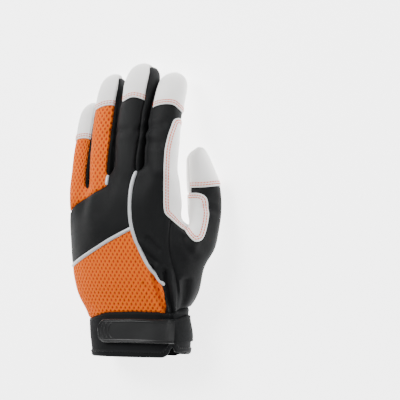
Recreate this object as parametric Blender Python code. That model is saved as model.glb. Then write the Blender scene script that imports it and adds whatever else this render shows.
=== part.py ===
"""A left-hand work glove with a leather palm, lying palm down: metres, +Y to the fingertips,
+X to the thumb side, +Z up from the back of the hand.

One quad net runs over the whole glove: rings round the cuff and the hand, a tube for each finger
and one for the thumb. Every sewn panel is a patch of that net given its own wall, so neighbours
meet along one seam line with a small gap, and the net's lines are the glove's seams."""

import math

import bpy
import numpy as np
from mathutils.bvhtree import BVHTree

# Lengths along the hand
CUFF_LENGTH = 0.036
PALM_LENGTH = 0.114
INDEX_LENGTH = 0.091
MIDDLE_LENGTH = 0.100
RING_LENGTH = 0.0965
LITTLE_LENGTH = 0.082
THUMB_LENGTH = 0.061
CAP_LENGTH = 0.0355

# Widths, depths and heights
CUFF_WIDTH = 0.0938
CUFF_DEPTH = 0.047
KNUCKLE_HEIGHT = 0.060
KNUCKLE_ARCH = 0.008
HAND_SHIFT = -0.006
FINGER_WIDTH = 0.0262
FINGER_DEPTH = 0.021
FINGER_GAP = 0.0008
THUMB_WIDTH = 0.029
THUMB_DEPTH = 0.026

# Walls
LEATHER = 0.0015
FABRIC = 0.0015
AIR_MESH = 0.002
NEOPRENE = 0.003
PATCH_LIFT = 0.0007
CLEARANCE = 0.0003

# Trim
PIPING_WIDTH = 0.0022
PIPING_DEPTH = 0.0012
PIPING_RISE = 0.0009
NOTCH_DEPTH = 0.010
STRAP_BOTTOM = 0.0118
STRAP_WIDTH = 0.0196
STRAP_WALL = 0.0015
TAB_WALL = 0.0018
TAB_RIM = 0.0007
HEEL_TAB_BOTTOM = 0.005
HEEL_TAB_LENGTH = 0.054
HEEL_TAB_WIDTH = 0.031
HEEL_TAB_X = 0.004

SEAM = CLEARANCE / 2
PIPED = PIPING_WIDTH / 2 + CLEARANCE
HEEL_TAB_STACK = LEATHER + CLEARANCE

# The net's columns: 0 to 16 over the back, 17 the thumb side, 18 to 34 under the palm, 35 the outer side
COLUMNS = 36
ROWS = 16
CUFF_ROW = 4
BAND_ROW = 10
BAND_TOP_ROW = 15
THUMB_ROW = 7
WEB_ROW = 11
PIPED_COLUMN = 12
HEM_RING = 8
THUMB_HEM_RING = 7

# The cuff's rows: its edge, the strap's bottom, middle and top
CUFF_ROWS = (0, STRAP_BOTTOM, STRAP_BOTTOM + STRAP_WIDTH / 2, STRAP_BOTTOM + STRAP_WIDTH)

# How far the cuff's edge rises at each column round its notch, as shares of NOTCH_DEPTH
NOTCH_EDGE = {13: 0.12, 14: 0.36, 15: 1.0, 16: 0.42, 17: 0.40, 18: 0.15}

LINES = (0, 4, 8, 12, 16, 18, 22, 26, 30, 34)

# Where each row crosses the ten lines, as shares of PALM_LENGTH past the cuff seam:
# back from the outer edge to the thumb side, then palm from the thumb side to the outer edge
ROW_PLACES = {
    4: (-0.053, 0.0, 0.009, 0.0, 0.0, 0.053, 0.061, 0.061, 0.053, 0.018),
    7: (0.140, 0.215, 0.268, 0.307, 0.263, 0.230, 0.263, 0.263, 0.228, 0.175),
    10: (0.333, 0.430, 0.526, 0.614, 0.596, 0.535, 0.535, 0.500, 0.430, 0.360),
    11: (0.412, 0.509, 0.605, 0.684, 0.697, 0.623, 0.614, 0.588, 0.518, 0.439),
    15: (0.728, 0.833, 0.921, 0.974, 0.965, 0.886, 0.877, 0.868, 0.816, 0.728),
    16: (0.798, 0.886, 0.991, 1.018, 1.009, 0.956, 0.947, 0.947, 0.895, 0.798),
}

# Where the lines lie across the hand, from -1 at the outer side to 1 at the thumb side,
# by share of PALM_LENGTH past the cuff seam
LINE_PLACES = {
    -0.32: (-0.93, -0.45, 0.06, 0.70, 0.92, 0.62, 0.30, -0.10, -0.50, -0.93),
    0.00: (-0.93, -0.43, 0.12, 0.74, 0.88, 0.60, 0.25, -0.12, -0.50, -0.93),
    0.20: (-0.94, -0.47, 0.08, 0.68, 0.77, 0.50, 0.20, -0.14, -0.50, -0.94),
    0.32: (-0.94, -0.50, -0.02, 0.46, 0.74, 0.50, 0.22, -0.12, -0.52, -0.94),
    0.48: (-0.945, -0.53, -0.10, 0.34, 0.79, 0.62, 0.30, -0.10, -0.54, -0.94),
    0.62: (-0.945, -0.55, -0.12, 0.32, 0.89, 0.80, 0.38, -0.08, -0.55, -0.94),
    0.80: (-0.945, -0.56, -0.11, 0.33, 0.95, 0.92, 0.42, -0.08, -0.56, -0.94),
    1.00: (-0.945, -0.56, -0.08, 0.44, 0.95, 0.94, 0.44, -0.08, -0.56, -0.94),
}

# The hand's section by share of PALM_LENGTH: left and right edges as shares of KNUCKLE_WIDTH from
# SECTION_MIDDLE, top and bottom as shares of KNUCKLE_HEIGHT
HAND_SECTIONS = {
    0.12: (-0.535, 0.515, 0.820, 0.035),
    0.245: (-0.570, 0.575, 0.885, 0.110),
    0.43: (-0.590, 0.550, 0.950, 0.240),
    0.62: (-0.595, 0.475, 1.000, 0.365),
    0.82: (-0.580, 0.441, 1.000, 0.460),
    1.00: (-0.570, 0.440, 0.958, 0.570),
}

# The cuff's section by share of CUFF_LENGTH: width as a share of CUFF_WIDTH, top and bottom of CUFF_DEPTH
CUFF_SECTIONS = {
    0.0: (0.908, 0.947, -0.050),
    0.5: (0.945, 0.957, -0.040),
    1.0: (1.000, 0.979, -0.020),
}

# The fingers from the little one to the index: length, sideways lean at the tip as a share of the
# length, width and depth as shares of the named sizes, and the downward pitch at the root in degrees
FINGERS = (
    ("little", LITTLE_LENGTH, -0.045, 0.80, 0.92, 15),
    ("ring", RING_LENGTH, -0.062, 0.92, 1.0, 8),
    ("middle", MIDDLE_LENGTH, -0.050, 1.0, 1.04, 6),
    ("index", INDEX_LENGTH, -0.045, 1.04, 1.02, 6),
)
KNUCKLE_WIDTH = sum(finger[3] * FINGER_WIDTH + FINGER_GAP for finger in FINGERS)
KNUCKLE_LEFT = HAND_SHIFT - KNUCKLE_WIDTH / 2
# What the sections' edges are measured from, as a share of KNUCKLE_WIDTH from its outer edge
SECTION_MIDDLE = 0.56

# Rings past the cap's hem: share of CAP_LENGTH left to the tip, width share, depth share
TIP_RINGS = ((0.72, 1.0, 0.97), (0.45, 0.98, 0.91), (0.21, 0.86, 0.75), (0.06, 0.58, 0.46))
TIP_HEIGHT = 0.50

# Angles of a finger ring's twelve points, from the outer side over the back to the thumb side and
# under the palm side
RING_ANGLES = (180, 145, 117.5, 90, 62.5, 35, 0, -35, -62.5, -90, -117.5, -145)
SIDE_L, BACK_0, BACK_4, SIDE_R, PALM_4, PALM_0 = 0, 1, 5, 6, 7, 11

# The thumb's ring has one point more, on its outer side
THUMB_ANGLES = (180, 145, 117.5, 90, 62.5, 35, 9, -18, -42, -66, -90, -117.5, -145)
THUMB_PALM_4, THUMB_PALM_0 = 8, 12

# The thumb's rings from its root at the web: web point and outer point (sideways as shares of
# THUMB_WIDTH, forward of THUMB_LENGTH), then height of the middle and half depth as shares of THUMB_DEPTH
THUMB_RINGS = (
    (0.06, -0.05, 0.50, -0.60, 1.04, 0.65),
    (0.05, -0.06, 0.65, -0.39, 0.90, 0.60),
    (-0.02, -0.01, 0.73, -0.19, 0.77, 0.555),
    (-0.12, 0.10, 0.77, -0.01, 0.65, 0.525),
    (-0.19, 0.23, 0.77, 0.17, 0.56, 0.51),
    (-0.24, 0.35, 0.74, 0.335, 0.515, 0.50),
    (-0.28, 0.465, 0.69, 0.475, 0.49, 0.49),
    (-0.30, 0.60, 0.58, 0.60, 0.475, 0.475),
    (-0.30, 0.745, 0.43, 0.745, 0.455, 0.435),
    (-0.29, 0.865, 0.30, 0.87, 0.435, 0.36),
    (-0.14, 0.95, 0.19, 0.955, 0.425, 0.23),
)
THUMB_TIP = (0.08, 1.0, 0.415)


def smooth_read(table, place):
    """Each column of the table at this place, on a smooth curve through its rows."""
    xs = np.array(list(table))
    ys = np.array([table[x] for x in table])
    slopes = np.gradient(ys, xs, axis=0)
    i = int(np.clip(np.searchsorted(xs, place) - 1, 0, len(xs) - 2))
    step = xs[i + 1] - xs[i]
    t = np.clip((place - xs[i]) / step, 0, 1)
    return (
        (1 + 2 * t) * (1 - t) ** 2 * ys[i]
        + t * (1 - t) ** 2 * step * slopes[i]
        + t * t * (3 - 2 * t) * ys[i + 1]
        + t * t * (t - 1) * step * slopes[i + 1]
    )


def section_table():
    """Left, right, top and bottom of the whole hand by distance from the cuff's edge."""
    table = {}
    for share, (width, top, bottom) in CUFF_SECTIONS.items():
        half = width * CUFF_WIDTH / 2
        table[share * CUFF_LENGTH] = (-half, half, top * CUFF_DEPTH, bottom * CUFF_DEPTH)
    middle = KNUCKLE_LEFT + SECTION_MIDDLE * KNUCKLE_WIDTH
    for share, (left, right, top, bottom) in HAND_SECTIONS.items():
        table[CUFF_LENGTH + share * PALM_LENGTH] = (
            middle + left * KNUCKLE_WIDTH,
            middle + right * KNUCKLE_WIDTH,
            top * KNUCKLE_HEIGHT,
            bottom * KNUCKLE_HEIGHT,
        )
    return table


SECTIONS = section_table()
# The power of the hand's oval sections: 2 is an ellipse, more is squarer
ROUNDNESS = 2.5


def finger_edge(finger):
    """The side of a finger's root that is further from the thumb."""
    return KNUCKLE_LEFT + sum(f[3] * FINGER_WIDTH + FINGER_GAP for f in FINGERS[:finger])


CREST_X = (finger_edge(2) + finger_edge(3)) / 2
# The share of PALM_LENGTH over which the arch grows from flat
ARCH_GROWN = 0.6


def arch_drop(x, y):
    """How far the hand's arch falls below its crest at this place."""
    grown = np.clip((y - CUFF_LENGTH) / (ARCH_GROWN * PALM_LENGTH), 0, 1)
    return KNUCKLE_ARCH * grown * ((x - CREST_X) / (KNUCKLE_WIDTH / 2)) ** 2


def hand_point(y, across, face):
    """A point of the hand's surface: across from -1 to 1, face 1 on the back, -1 on the palm, 0 at a side."""
    left, right, top, bottom = smooth_read(SECTIONS, y)
    x = (left + right) / 2 + across * (right - left) / 2
    half = (top - bottom) / 2
    lift = half * (1 - min(abs(across), 1) ** ROUNDNESS) ** (1 / ROUNDNESS)
    return np.array([x, y, (top + bottom) / 2 + face * lift - arch_drop(x, y)])


def finger_root(finger):
    """The middle of a finger's root."""
    x = (finger_edge(finger) + finger_edge(finger + 1)) / 2
    _, _, top, _ = smooth_read(SECTIONS, CUFF_LENGTH + PALM_LENGTH)
    return np.array([x, 0, top - FINGER_DEPTH / 2 - arch_drop(x, CUFF_LENGTH + PALM_LENGTH)])


def ring_point(centre, side, up, half_width, half_depth, angle):
    turn = math.radians(angle)
    return centre + side * half_width * math.cos(turn) + up * half_depth * math.sin(turn)


points = []
faces = []
face_names = []


def add_point(place):
    points.append(np.array(place, float))
    return len(points) - 1


def add_face(corners, name):
    faces.append(tuple(corners))
    face_names.append(name)


def row_line_places():
    """y and across for every row and column of the hand."""
    y = np.zeros((ROWS + 1, COLUMNS + 1))
    across = np.zeros((ROWS + 1, COLUMNS + 1))
    for row in range(ROWS + 1):
        if row < CUFF_ROW:
            seam = CUFF_LENGTH + PALM_LENGTH * np.array(ROW_PLACES[CUFF_ROW])
            at_lines = seam * CUFF_ROWS[row] / CUFF_LENGTH
        else:
            keys = sorted(ROW_PLACES)
            at_lines = np.array(
                [np.interp(row, keys, [ROW_PLACES[k][line] for k in keys]) for line in range(10)]
            )
            at_lines = CUFF_LENGTH + PALM_LENGTH * at_lines
        spread = []
        for line, place in enumerate(at_lines):
            spread.append(smooth_read(LINE_PLACES, (place - CUFF_LENGTH) / PALM_LENGTH)[line])
        for column in range(COLUMNS + 1):
            if column <= 16 or 18 <= column <= 34:
                first = 0 if column <= 16 else 5
                known = LINES[first : first + 5]
                y[row, column] = np.interp(column, known, at_lines[first : first + 5])
                across[row, column] = np.interp(column, known, spread[first : first + 5])
            elif column == 17:
                y[row, column] = (at_lines[4] + at_lines[5]) / 2
                across[row, column] = 1
            elif column == 35:
                y[row, column] = (at_lines[9] + at_lines[0]) / 2
                across[row, column] = -1
    return y, across


def finger_ring_zero(finger):
    """The points where a finger's tube meets the hand, as (column, place) without its y."""
    centre = finger_root(finger)
    _, _, _, wide, deep, _ = FINGERS[finger]
    side, up = np.array([1.0, 0, 0]), np.array([0, 0, 1.0])
    found = {}
    for k in range(5):
        angle = RING_ANGLES[BACK_0 + k]
        found[4 * finger + k] = ring_point(
            centre, side, up, wide * FINGER_WIDTH / 2, deep * FINGER_DEPTH / 2, angle
        )
        angle = RING_ANGLES[PALM_4 + k]
        found[18 + 4 * (3 - finger) + k] = ring_point(
            centre, side, up, wide * FINGER_WIDTH / 2, deep * FINGER_DEPTH / 2, angle
        )
    return found


# The column between 17 and 18 that rounds the wrist below the thumb, and ends at the thumb's root:
# its points, and its place across as a fixed part and a share of column 18's
HEEL_COLUMN = []
HEEL_ACROSS = (0.57, 0.5)

# How much of the way each row next to the knuckles goes from the hand's oval to the fingers' rings
ROOT_BLEND = {16: 1.0, 15: 0.62, 14: 0.30, 13: 0.10}


def build_hand():
    """The hand's net: net[row][column] is a point's number."""
    y, across = row_line_places()
    roots = {}
    for finger in range(4):
        for column, place in finger_ring_zero(finger).items():
            roots.setdefault(column, []).append(place)
    roots = {column: np.mean(places, axis=0) for column, places in roots.items()}
    net = np.zeros((ROWS + 1, COLUMNS), int)
    for row in range(ROWS + 1):
        for column in range(COLUMNS):
            face = 0 if column in (17, 35) else (1 if column < 17 else -1)
            place = hand_point(y[row, column], across[row, column], face)
            if column == 17 and row <= THUMB_ROW:
                corner = HEEL_ACROSS[0] + HEEL_ACROSS[1] * across[row, 18]
                HEEL_COLUMN.append(add_point(hand_point(y[row, 17], corner, -1)))
            if row in ROOT_BLEND and column in roots:
                crest = hand_point(y[ROWS, column], across[ROWS, column], face)
                target = roots[column] + np.array([0, 0, place[2] - crest[2]])
                target[1] = place[1]
                place = place + ROOT_BLEND[row] * (target - place)
            net[row, column] = add_point(place)
    for column, share in NOTCH_EDGE.items():
        points[net[0, column]][1] = share * NOTCH_DEPTH
    points[HEEL_COLUMN[0]][1] = NOTCH_EDGE[18] * NOTCH_DEPTH
    return net


NET = build_hand()


def panel_of_hand(row, column):
    outer = column >= 34 or column < PIPED_COLUMN
    if row < CUFF_ROW:
        return "cuff"
    if 16 <= column < 18 and THUMB_ROW <= row < WEB_ROW:
        return None
    if column in (16, 17):
        return "thumb_panel" if row < THUMB_ROW else "web_patch"
    if column == 15 and row >= WEB_ROW:
        return "web_patch"
    if 18 <= column < 34:
        return "palm_leather"
    if not outer:
        return "index_panel"
    if row < BAND_ROW:
        return "hand_mesh_panel"
    if row >= BAND_TOP_ROW and not 8 <= column < PIPED_COLUMN:
        return "finger_mesh_panel"
    return "band_panel"


def add_hand_faces():
    for row in range(ROWS):
        for column in range(COLUMNS):
            panel = panel_of_hand(row, column)
            after = (column + 1) % COLUMNS
            a, b, c, d = NET[row, column], NET[row, after], NET[row + 1, after], NET[row + 1, column]
            if column == 17 and row < THUMB_ROW:
                add_face((a, HEEL_COLUMN[row], HEEL_COLUMN[row + 1], d), panel)
                add_face((HEEL_COLUMN[row], b, c, HEEL_COLUMN[row + 1]), panel)
            elif panel:
                add_face((a, b, c, d), panel)


add_hand_faces()

# How far a crotch lies back from the knuckle line, as a share of FINGER_WIDTH
WEB_DIP = 0.1


def web_points():
    """The point between back and palm at each finger crotch."""
    found = []
    for finger in range(3):
        back = points[NET[ROWS, 4 * finger + 4]]
        under = points[NET[ROWS, 18 + 4 * (3 - finger)]]
        place = (back + under) / 2
        place[1] -= WEB_DIP * FINGER_WIDTH
        found.append(add_point(place))
    return found


WEBS = web_points()


def finger_path(finger):
    """A function that gives a finger's middle, side and up at a share of its length."""
    _, length, lean, _, deep, pitch_at_root = FINGERS[finger]
    start = finger_root(finger)
    back = [points[NET[ROWS, 4 * finger + k]][1] for k in (0, 4)]
    under = [points[NET[ROWS, 18 + 4 * (3 - finger) + k]][1] for k in (0, 4)]
    start[1] = (sum(back) + sum(under)) / 4
    drop = start[2] - TIP_HEIGHT * deep * FINGER_DEPTH
    mean = math.degrees(math.asin(drop / length))
    turn = 2 * (mean - pitch_at_root)
    steps = 60

    def at(share):
        place = start.copy()
        for step in range(steps):
            pitch = math.radians(pitch_at_root + turn * share * (step + 0.5) / steps)
            stride = np.array([lean, math.cos(pitch), -math.sin(pitch)])
            place = place + stride * length * share / steps
        slope = math.radians(pitch_at_root + turn * share)
        side = np.array([1.0, -lean * math.cos(slope), 0])
        side /= np.linalg.norm(side)
        up = np.cross(side, np.array([lean, math.cos(slope), -math.sin(slope)]))
        return place, side, up / np.linalg.norm(up)

    return at


def panel_of_finger(finger, ring, k):
    """The panel of the face between ring points k and k + 1."""
    name = FINGERS[finger][0]
    if k in (SIDE_L, PALM_0):
        if finger:
            return ("little_ring", "ring_middle", "middle_index")[finger - 1] + "_fourchette"
        return "finger_mesh_panel" if ring < HEM_RING else name + "_cap"
    if k in (BACK_4, SIDE_R):
        if finger < 3:
            return ("little_ring", "ring_middle", "middle_index")[finger] + "_fourchette"
        if ring < HEM_RING - 1:
            return "web_patch"
    if PALM_4 <= k < PALM_0:
        return "palm_leather"
    if ring >= HEM_RING:
        return name + "_cap"
    if finger == 3:
        return "web_patch" if k == BACK_4 - 1 and ring < HEM_RING - 1 else "index_panel"
    return "band_panel" if finger == 2 else "finger_mesh_panel"


def close_tip(ring, tips, back_name, palm_name, back_faces, palm_faces):
    """Faces over a tube's end, with three points on the line from its one side to the other."""
    last = len(ring) - 1
    line = [ring[SIDE_L], *tips, ring[SIDE_R]]
    for k in range(4):
        name = back_name if k in back_faces else palm_name
        add_face((ring[BACK_0 + k], ring[BACK_0 + k + 1], line[k + 1], line[k]), name)
    line[4] = ring[last - 5]
    for k in range(4):
        name = back_name if k in palm_faces else palm_name
        add_face((line[k], line[k + 1], ring[last - k - 1], ring[last - k]), name)
    if last - 5 != SIDE_R:
        add_face((tips[2], ring[SIDE_R], ring[last - 5]), back_name)


# How much of the knuckle line's curve a finger's first rings keep
ROOT_CURVE_KEPT = {1: 0.45, 2: 0.18}


def build_finger(finger):
    name, length, _, wide, deep, _ = FINGERS[finger]
    wide *= FINGER_WIDTH / 2
    deep *= FINGER_DEPTH / 2
    first = [0] * 12
    first[SIDE_L] = WEBS[finger - 1] if finger else NET[ROWS, 35]
    first[SIDE_R] = WEBS[finger] if finger < 3 else NET[ROWS, 17]
    for k in range(5):
        first[BACK_0 + k] = NET[ROWS, (4 * finger + k) % COLUMNS]
        first[PALM_4 + k] = NET[ROWS, 18 + 4 * (3 - finger) + k]
    at = finger_path(finger)
    hem = 1 - CAP_LENGTH / length
    shares = [(hem * (ring + 1) / HEM_RING, 1, 1) for ring in range(HEM_RING)]
    shares += [(1 - left * CAP_LENGTH / length, w, d) for left, w, d in TIP_RINGS]
    rings = [first]
    for number, (share, width, depth) in enumerate(shares, 1):
        centre, side, up = at(share)
        ring = []
        for k, angle in enumerate(RING_ANGLES):
            place = ring_point(centre, side, up, width * wide, depth * deep, angle)
            root_y = points[first[k]][1] - at(0)[0][1]
            place[1] += ROOT_CURVE_KEPT.get(number, 0) * root_y
            ring.append(add_point(place))
        rings.append(ring)
    for ring in range(len(rings) - 1):
        for k in range(12):
            after = (k + 1) % 12
            add_face(
                (rings[ring][k], rings[ring][after], rings[ring + 1][after], rings[ring + 1][k]),
                panel_of_finger(finger, ring, k),
            )
    centre, side, up = at(1)
    half = TIP_RINGS[-1][1] * wide
    tips = [add_point(centre + side * half * share) for share in (-0.5, 0, 0.5)]
    close_tip(rings[-1], tips, name + "_cap", "palm_leather", (0, 1, 2, 3), ())
    return rings


FINGER_NETS = [build_finger(finger) for finger in range(4)]


def panel_of_thumb(ring, k):
    """The panel of a thumb face between ring points k and k + 1."""
    wrap = k in (SIDE_L, BACK_0, THUMB_PALM_0)
    if THUMB_PALM_4 + 1 <= k < THUMB_PALM_0:
        return "palm_leather"
    if ring >= THUMB_HEM_RING:
        return "palm_leather" if wrap else "thumb_cap"
    if ring >= THUMB_HEM_RING - 1:
        return "palm_leather" if wrap else "thumb_panel"
    if k in (SIDE_L, THUMB_PALM_0):
        return "web_patch"
    return "web_patch" if BACK_0 <= k < BACK_4 and ring >= 2 else "thumb_panel"


def build_thumb():
    first = [NET[WEB_ROW, 17]]
    first += [NET[row, 16] for row in range(WEB_ROW, THUMB_ROW - 1, -1)]
    first += [NET[THUMB_ROW, 17], HEEL_COLUMN[THUMB_ROW]]
    first += [NET[row, 18] for row in range(THUMB_ROW, WEB_ROW + 1)]
    root = points[first[0]]
    rings = [first]
    up = np.array([0, 0, 1.0])
    for web_x, web_y, outer_x, outer_y, height, half in THUMB_RINGS:
        web = root + np.array([web_x * THUMB_WIDTH, web_y * THUMB_LENGTH, 0])
        outer = root + np.array([outer_x * THUMB_WIDTH, outer_y * THUMB_LENGTH, 0])
        centre = (web + outer) / 2
        centre[2] = height * THUMB_DEPTH
        side = (outer - web) / np.linalg.norm(outer - web)
        width = np.linalg.norm(outer - web) / 2
        rings.append(
            [
                add_point(ring_point(centre, side, up, width, half * THUMB_DEPTH, angle))
                for angle in THUMB_ANGLES
            ]
        )
    for ring in range(len(rings) - 1):
        for k in range(13):
            after = (k + 1) % 13
            add_face(
                (rings[ring][k], rings[ring][after], rings[ring + 1][after], rings[ring + 1][k]),
                panel_of_thumb(ring, k),
            )
    tip = root + np.array([THUMB_TIP[0] * THUMB_WIDTH, THUMB_TIP[1] * THUMB_LENGTH, 0])
    tip[2] = THUMB_TIP[2] * THUMB_DEPTH
    across = points[rings[-1][SIDE_R]] - points[rings[-1][SIDE_L]]
    tips = [add_point(tip + across * share) for share in (-0.25, 0, 0.25)]
    close_tip(rings[-1], tips, "thumb_cap", "palm_leather", (1, 2, 3), (3,))
    return rings


THUMB_NET = build_thumb()


# How far points of the thumb's net shift to round the leather patch there: ring, point, then shares
# of THUMB_WIDTH sideways, THUMB_LENGTH forward and THUMB_DEPTH up
PATCH_SHIFTS = (
    (2, 4, 0, 0.03, 0),
    (2, 5, 0, 0.14, 0),
    (3, 5, -0.06, 0, 0.05),
    (4, 5, -0.08, 0, 0.06),
    (5, 5, -0.08, 0, 0.06),
    (6, 5, -0.12, -0.08, 0.08),
    (6, 4, -0.02, -0.02, 0),
)


def shape_web_patch():
    for ring, k, sideways, forward, up in PATCH_SHIFTS:
        shift = (sideways * THUMB_WIDTH, forward * THUMB_LENGTH, up * THUMB_DEPTH)
        points[THUMB_NET[ring][k]] += np.array(shift)


def relax_thumb_root(rounds=3, share=0.4):
    """Smooths the net where the thumb grows out of the hand."""
    free = set()
    for ring in THUMB_NET[:2]:
        free.update(ring)
    for row in range(THUMB_ROW, WEB_ROW + 2):
        free.update(NET[row, column] for column in (16, 17, 18))
    free -= {NET[THUMB_ROW, 17], HEEL_COLUMN[THUMB_ROW]}
    joined = {p: set() for p in free}
    for corners in faces:
        for k, corner in enumerate(corners):
            if corner in free:
                joined[corner].update((corners[k - 1], corners[(k + 1) % len(corners)]))
    for _ in range(rounds):
        moved = {
            p: points[p] + share * (np.mean([points[q] for q in joined[p]], axis=0) - points[p])
            for p in free
            if joined[p]
        }
        for p, place in moved.items():
            points[p] = place


relax_thumb_root()
shape_web_patch()
P = np.array(points)
P[:, 2] = np.maximum(P[:, 2], 0)
for corner in [*NET[: CUFF_ROW + 3].flat, *HEEL_COLUMN]:
    P[corner, 2] = max(P[corner, 2], HEEL_TAB_STACK)


def face_normal(corners):
    """The normal of a face of three or four corners, as long as twice its area."""
    return np.cross(P[corners[2]] - P[corners[0]], P[corners[-1]] - P[corners[1]])


def vertex_normals():
    found = np.zeros_like(P)
    for corners in faces:
        for corner in corners:
            found[corner] += face_normal(corners)
    return found / np.maximum(np.linalg.norm(found, axis=1, keepdims=True), 1e-12)


N = vertex_normals()


def edge_key(a, b):
    return (min(a, b), max(a, b))


def piped_edges():
    """The net's edges that a piping covers."""
    found = set()
    for row in range(CUFF_ROW + 2, ROWS):
        found.add(edge_key(NET[row, PIPED_COLUMN], NET[row + 1, PIPED_COLUMN]))
    band = [34, 35, *range(PIPED_COLUMN + 1)]
    for a, b in zip(band, band[1:]):
        found.add(edge_key(NET[BAND_ROW, a], NET[BAND_ROW, b]))
    found.add(edge_key(NET[BAND_TOP_ROW, 8], NET[ROWS, 8]))
    return found


PIPING_EDGES = piped_edges()


def edges_of(corners):
    return list(zip(corners, corners[1:] + corners[:1]))


EDGE_COUNTS = {}
for corners in faces:
    for a, b in edges_of(corners):
        EDGE_COUNTS[edge_key(a, b)] = EDGE_COUNTS.get(edge_key(a, b), 0) + 1


def inset_of(edge):
    if EDGE_COUNTS[edge] == 1:
        return 0.0
    return PIPED if edge in PIPING_EDGES else SEAM


# Where two borders of a panel meet: the length of their mean inward way above which they run on as
# one line, and below which they fold back; then the most a corner moves, in gaps, in each case
RUNS_ON, FOLDS_BACK = 0.93, 0.35
MOST_BENT, MOST_FOLDED = 1.8, 4


def border_shifts(loops):
    """How far each border point of a panel moves in from its seams, in the plane of its faces."""
    sides = {}
    for corners in loops:
        for a, b in edges_of(corners):
            sides.setdefault(edge_key(a, b), []).append((a, b, corners))
    pushes = {}
    for edge, uses in sides.items():
        if len(uses) != 1:
            continue
        a, b, corners = uses[0]
        inward = np.cross(face_normal(corners), P[b] - P[a])
        inward /= np.linalg.norm(inward)
        for corner in (a, b):
            pushes.setdefault(corner, []).append((inward, inset_of(edge)))
    shifts = {}
    for corner, found in pushes.items():
        ways = np.array([way for way, _ in found])
        gaps = np.array([gap for _, gap in found])
        middle = ways.mean(axis=0)
        together = np.linalg.norm(middle)
        if together > RUNS_ON or together < FOLDS_BACK:
            shifts[corner] = middle / together * gaps.max() * min(1 / together, MOST_FOLDED)
        else:
            shift = np.linalg.lstsq(ways, gaps, rcond=0.1)[0]
            size = np.linalg.norm(shift)
            most = MOST_BENT * gaps.max()
            shifts[corner] = shift * (most / size if size > most > 0 else 1)
    return shifts, [uses[0][:2] for uses in sides.values() if len(uses) == 1]


def make_object(name, places, loops, colour, roughness):
    mesh = bpy.data.meshes.new(name)
    mesh.from_pydata([tuple(place) for place in places], [], loops)
    mesh.validate()
    made = bpy.data.objects.new(name, mesh)
    bpy.context.collection.objects.link(made)
    material = bpy.data.materials.new(name)
    material.use_nodes = True
    shader = material.node_tree.nodes["Principled BSDF"]
    shader.inputs["Base Color"].default_value = (*colour, 1)
    shader.inputs["Roughness"].default_value = roughness
    mesh.materials.append(material)
    return made


def make_panel(name, wall, lift, colour, roughness):
    """The solid of one sewn panel: its patch of the net, lifted and given its wall."""
    loops = [corners for corners, panel in zip(faces, face_names) if panel == name]
    shifts, borders = border_shifts(loops)
    used = sorted({corner for corners in loops for corner in corners})
    number = {corner: i for i, corner in enumerate(used)}
    count = len(used)
    outer = np.array([P[c] + shifts.get(c, 0) + lift * N[c] for c in used])
    outer[:, 2] = np.maximum(outer[:, 2], 0)
    inner = np.array([P[c] + shifts.get(c, 0) - wall * N[c] for c in used])
    solid = []
    for corners in loops:
        for k in range(1, len(corners) - 1):
            triangle = [number[corners[0]], number[corners[k]], number[corners[k + 1]]]
            solid.append(triangle)
            solid.append([count + corner for corner in reversed(triangle)])
    for a, b in borders:
        a, b = number[a], number[b]
        if a < b:
            solid.append([b, a, count + a])
            solid.append([b, count + a, count + b])
        else:
            solid.append([b, a, count + b])
            solid.append([a, count + a, count + b])
    return make_object(name, np.vstack([outer, inner]), solid, colour, roughness)


def clear_scene():
    for old in list(bpy.data.objects):
        bpy.data.objects.remove(old, do_unlink=True)


WHITE = (0.80, 0.80, 0.79)
BLACK = (0.018, 0.019, 0.020)
ORANGE = (0.95, 0.22, 0.005)
GREY = (0.48, 0.49, 0.50)
DARK_GREY = (0.04, 0.04, 0.042)

PANELS = (
    ("cuff", NEOPRENE, 0, BLACK, 0.85),
    ("palm_leather", LEATHER, 0, WHITE, 0.6),
    ("web_patch", LEATHER, PATCH_LIFT, WHITE, 0.6),
    ("index_cap", LEATHER, PATCH_LIFT, WHITE, 0.6),
    ("middle_cap", LEATHER, PATCH_LIFT, WHITE, 0.6),
    ("ring_cap", LEATHER, PATCH_LIFT, WHITE, 0.6),
    ("little_cap", LEATHER, PATCH_LIFT, WHITE, 0.6),
    ("thumb_cap", LEATHER, PATCH_LIFT, WHITE, 0.6),
    ("hand_mesh_panel", AIR_MESH, 0, ORANGE, 0.8),
    ("finger_mesh_panel", AIR_MESH, 0, ORANGE, 0.8),
    ("band_panel", FABRIC, 0, BLACK, 0.8),
    ("index_panel", FABRIC, 0, BLACK, 0.8),
    ("thumb_panel", FABRIC, 0, BLACK, 0.8),
    ("little_ring_fourchette", FABRIC, 0, BLACK, 0.8),
    ("ring_middle_fourchette", FABRIC, 0, BLACK, 0.8),
    ("middle_index_fourchette", FABRIC, 0, BLACK, 0.8),
)

clear_scene()
for sewn_panel in PANELS:
    make_panel(*sewn_panel)


def swept(name, places, ups, tangents, profile, colour, roughness):
    """A bar along the places: the profile's (across, up) points, closed at both ends."""
    sides = [np.cross(t, u) for t, u in zip(tangents, ups)]
    body = []
    for place, up, side in zip(places, ups, sides):
        for across, height in profile:
            body.append(place + side / np.linalg.norm(side) * across + up * height)
    count = len(profile)
    solid = []
    for i in range(len(places) - 1):
        for k in range(count):
            a, b = i * count + k, i * count + (k + 1) % count
            solid.append([a, a + count, b + count, b])
    solid.append(list(range(count)))
    solid.append([(len(places) - 1) * count + k for k in reversed(range(count))])
    return make_object(name, body, solid, colour, roughness)


PIPING_EDGE_RISE = 0.35 * PIPING_RISE
PIPING_PROFILE = [
    (-PIPING_WIDTH / 2, -PIPING_DEPTH),
    (PIPING_WIDTH / 2, -PIPING_DEPTH),
    (PIPING_WIDTH / 2, PIPING_EDGE_RISE),
    (0, PIPING_RISE),
    (-PIPING_WIDTH / 2, PIPING_EDGE_RISE),
]


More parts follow.
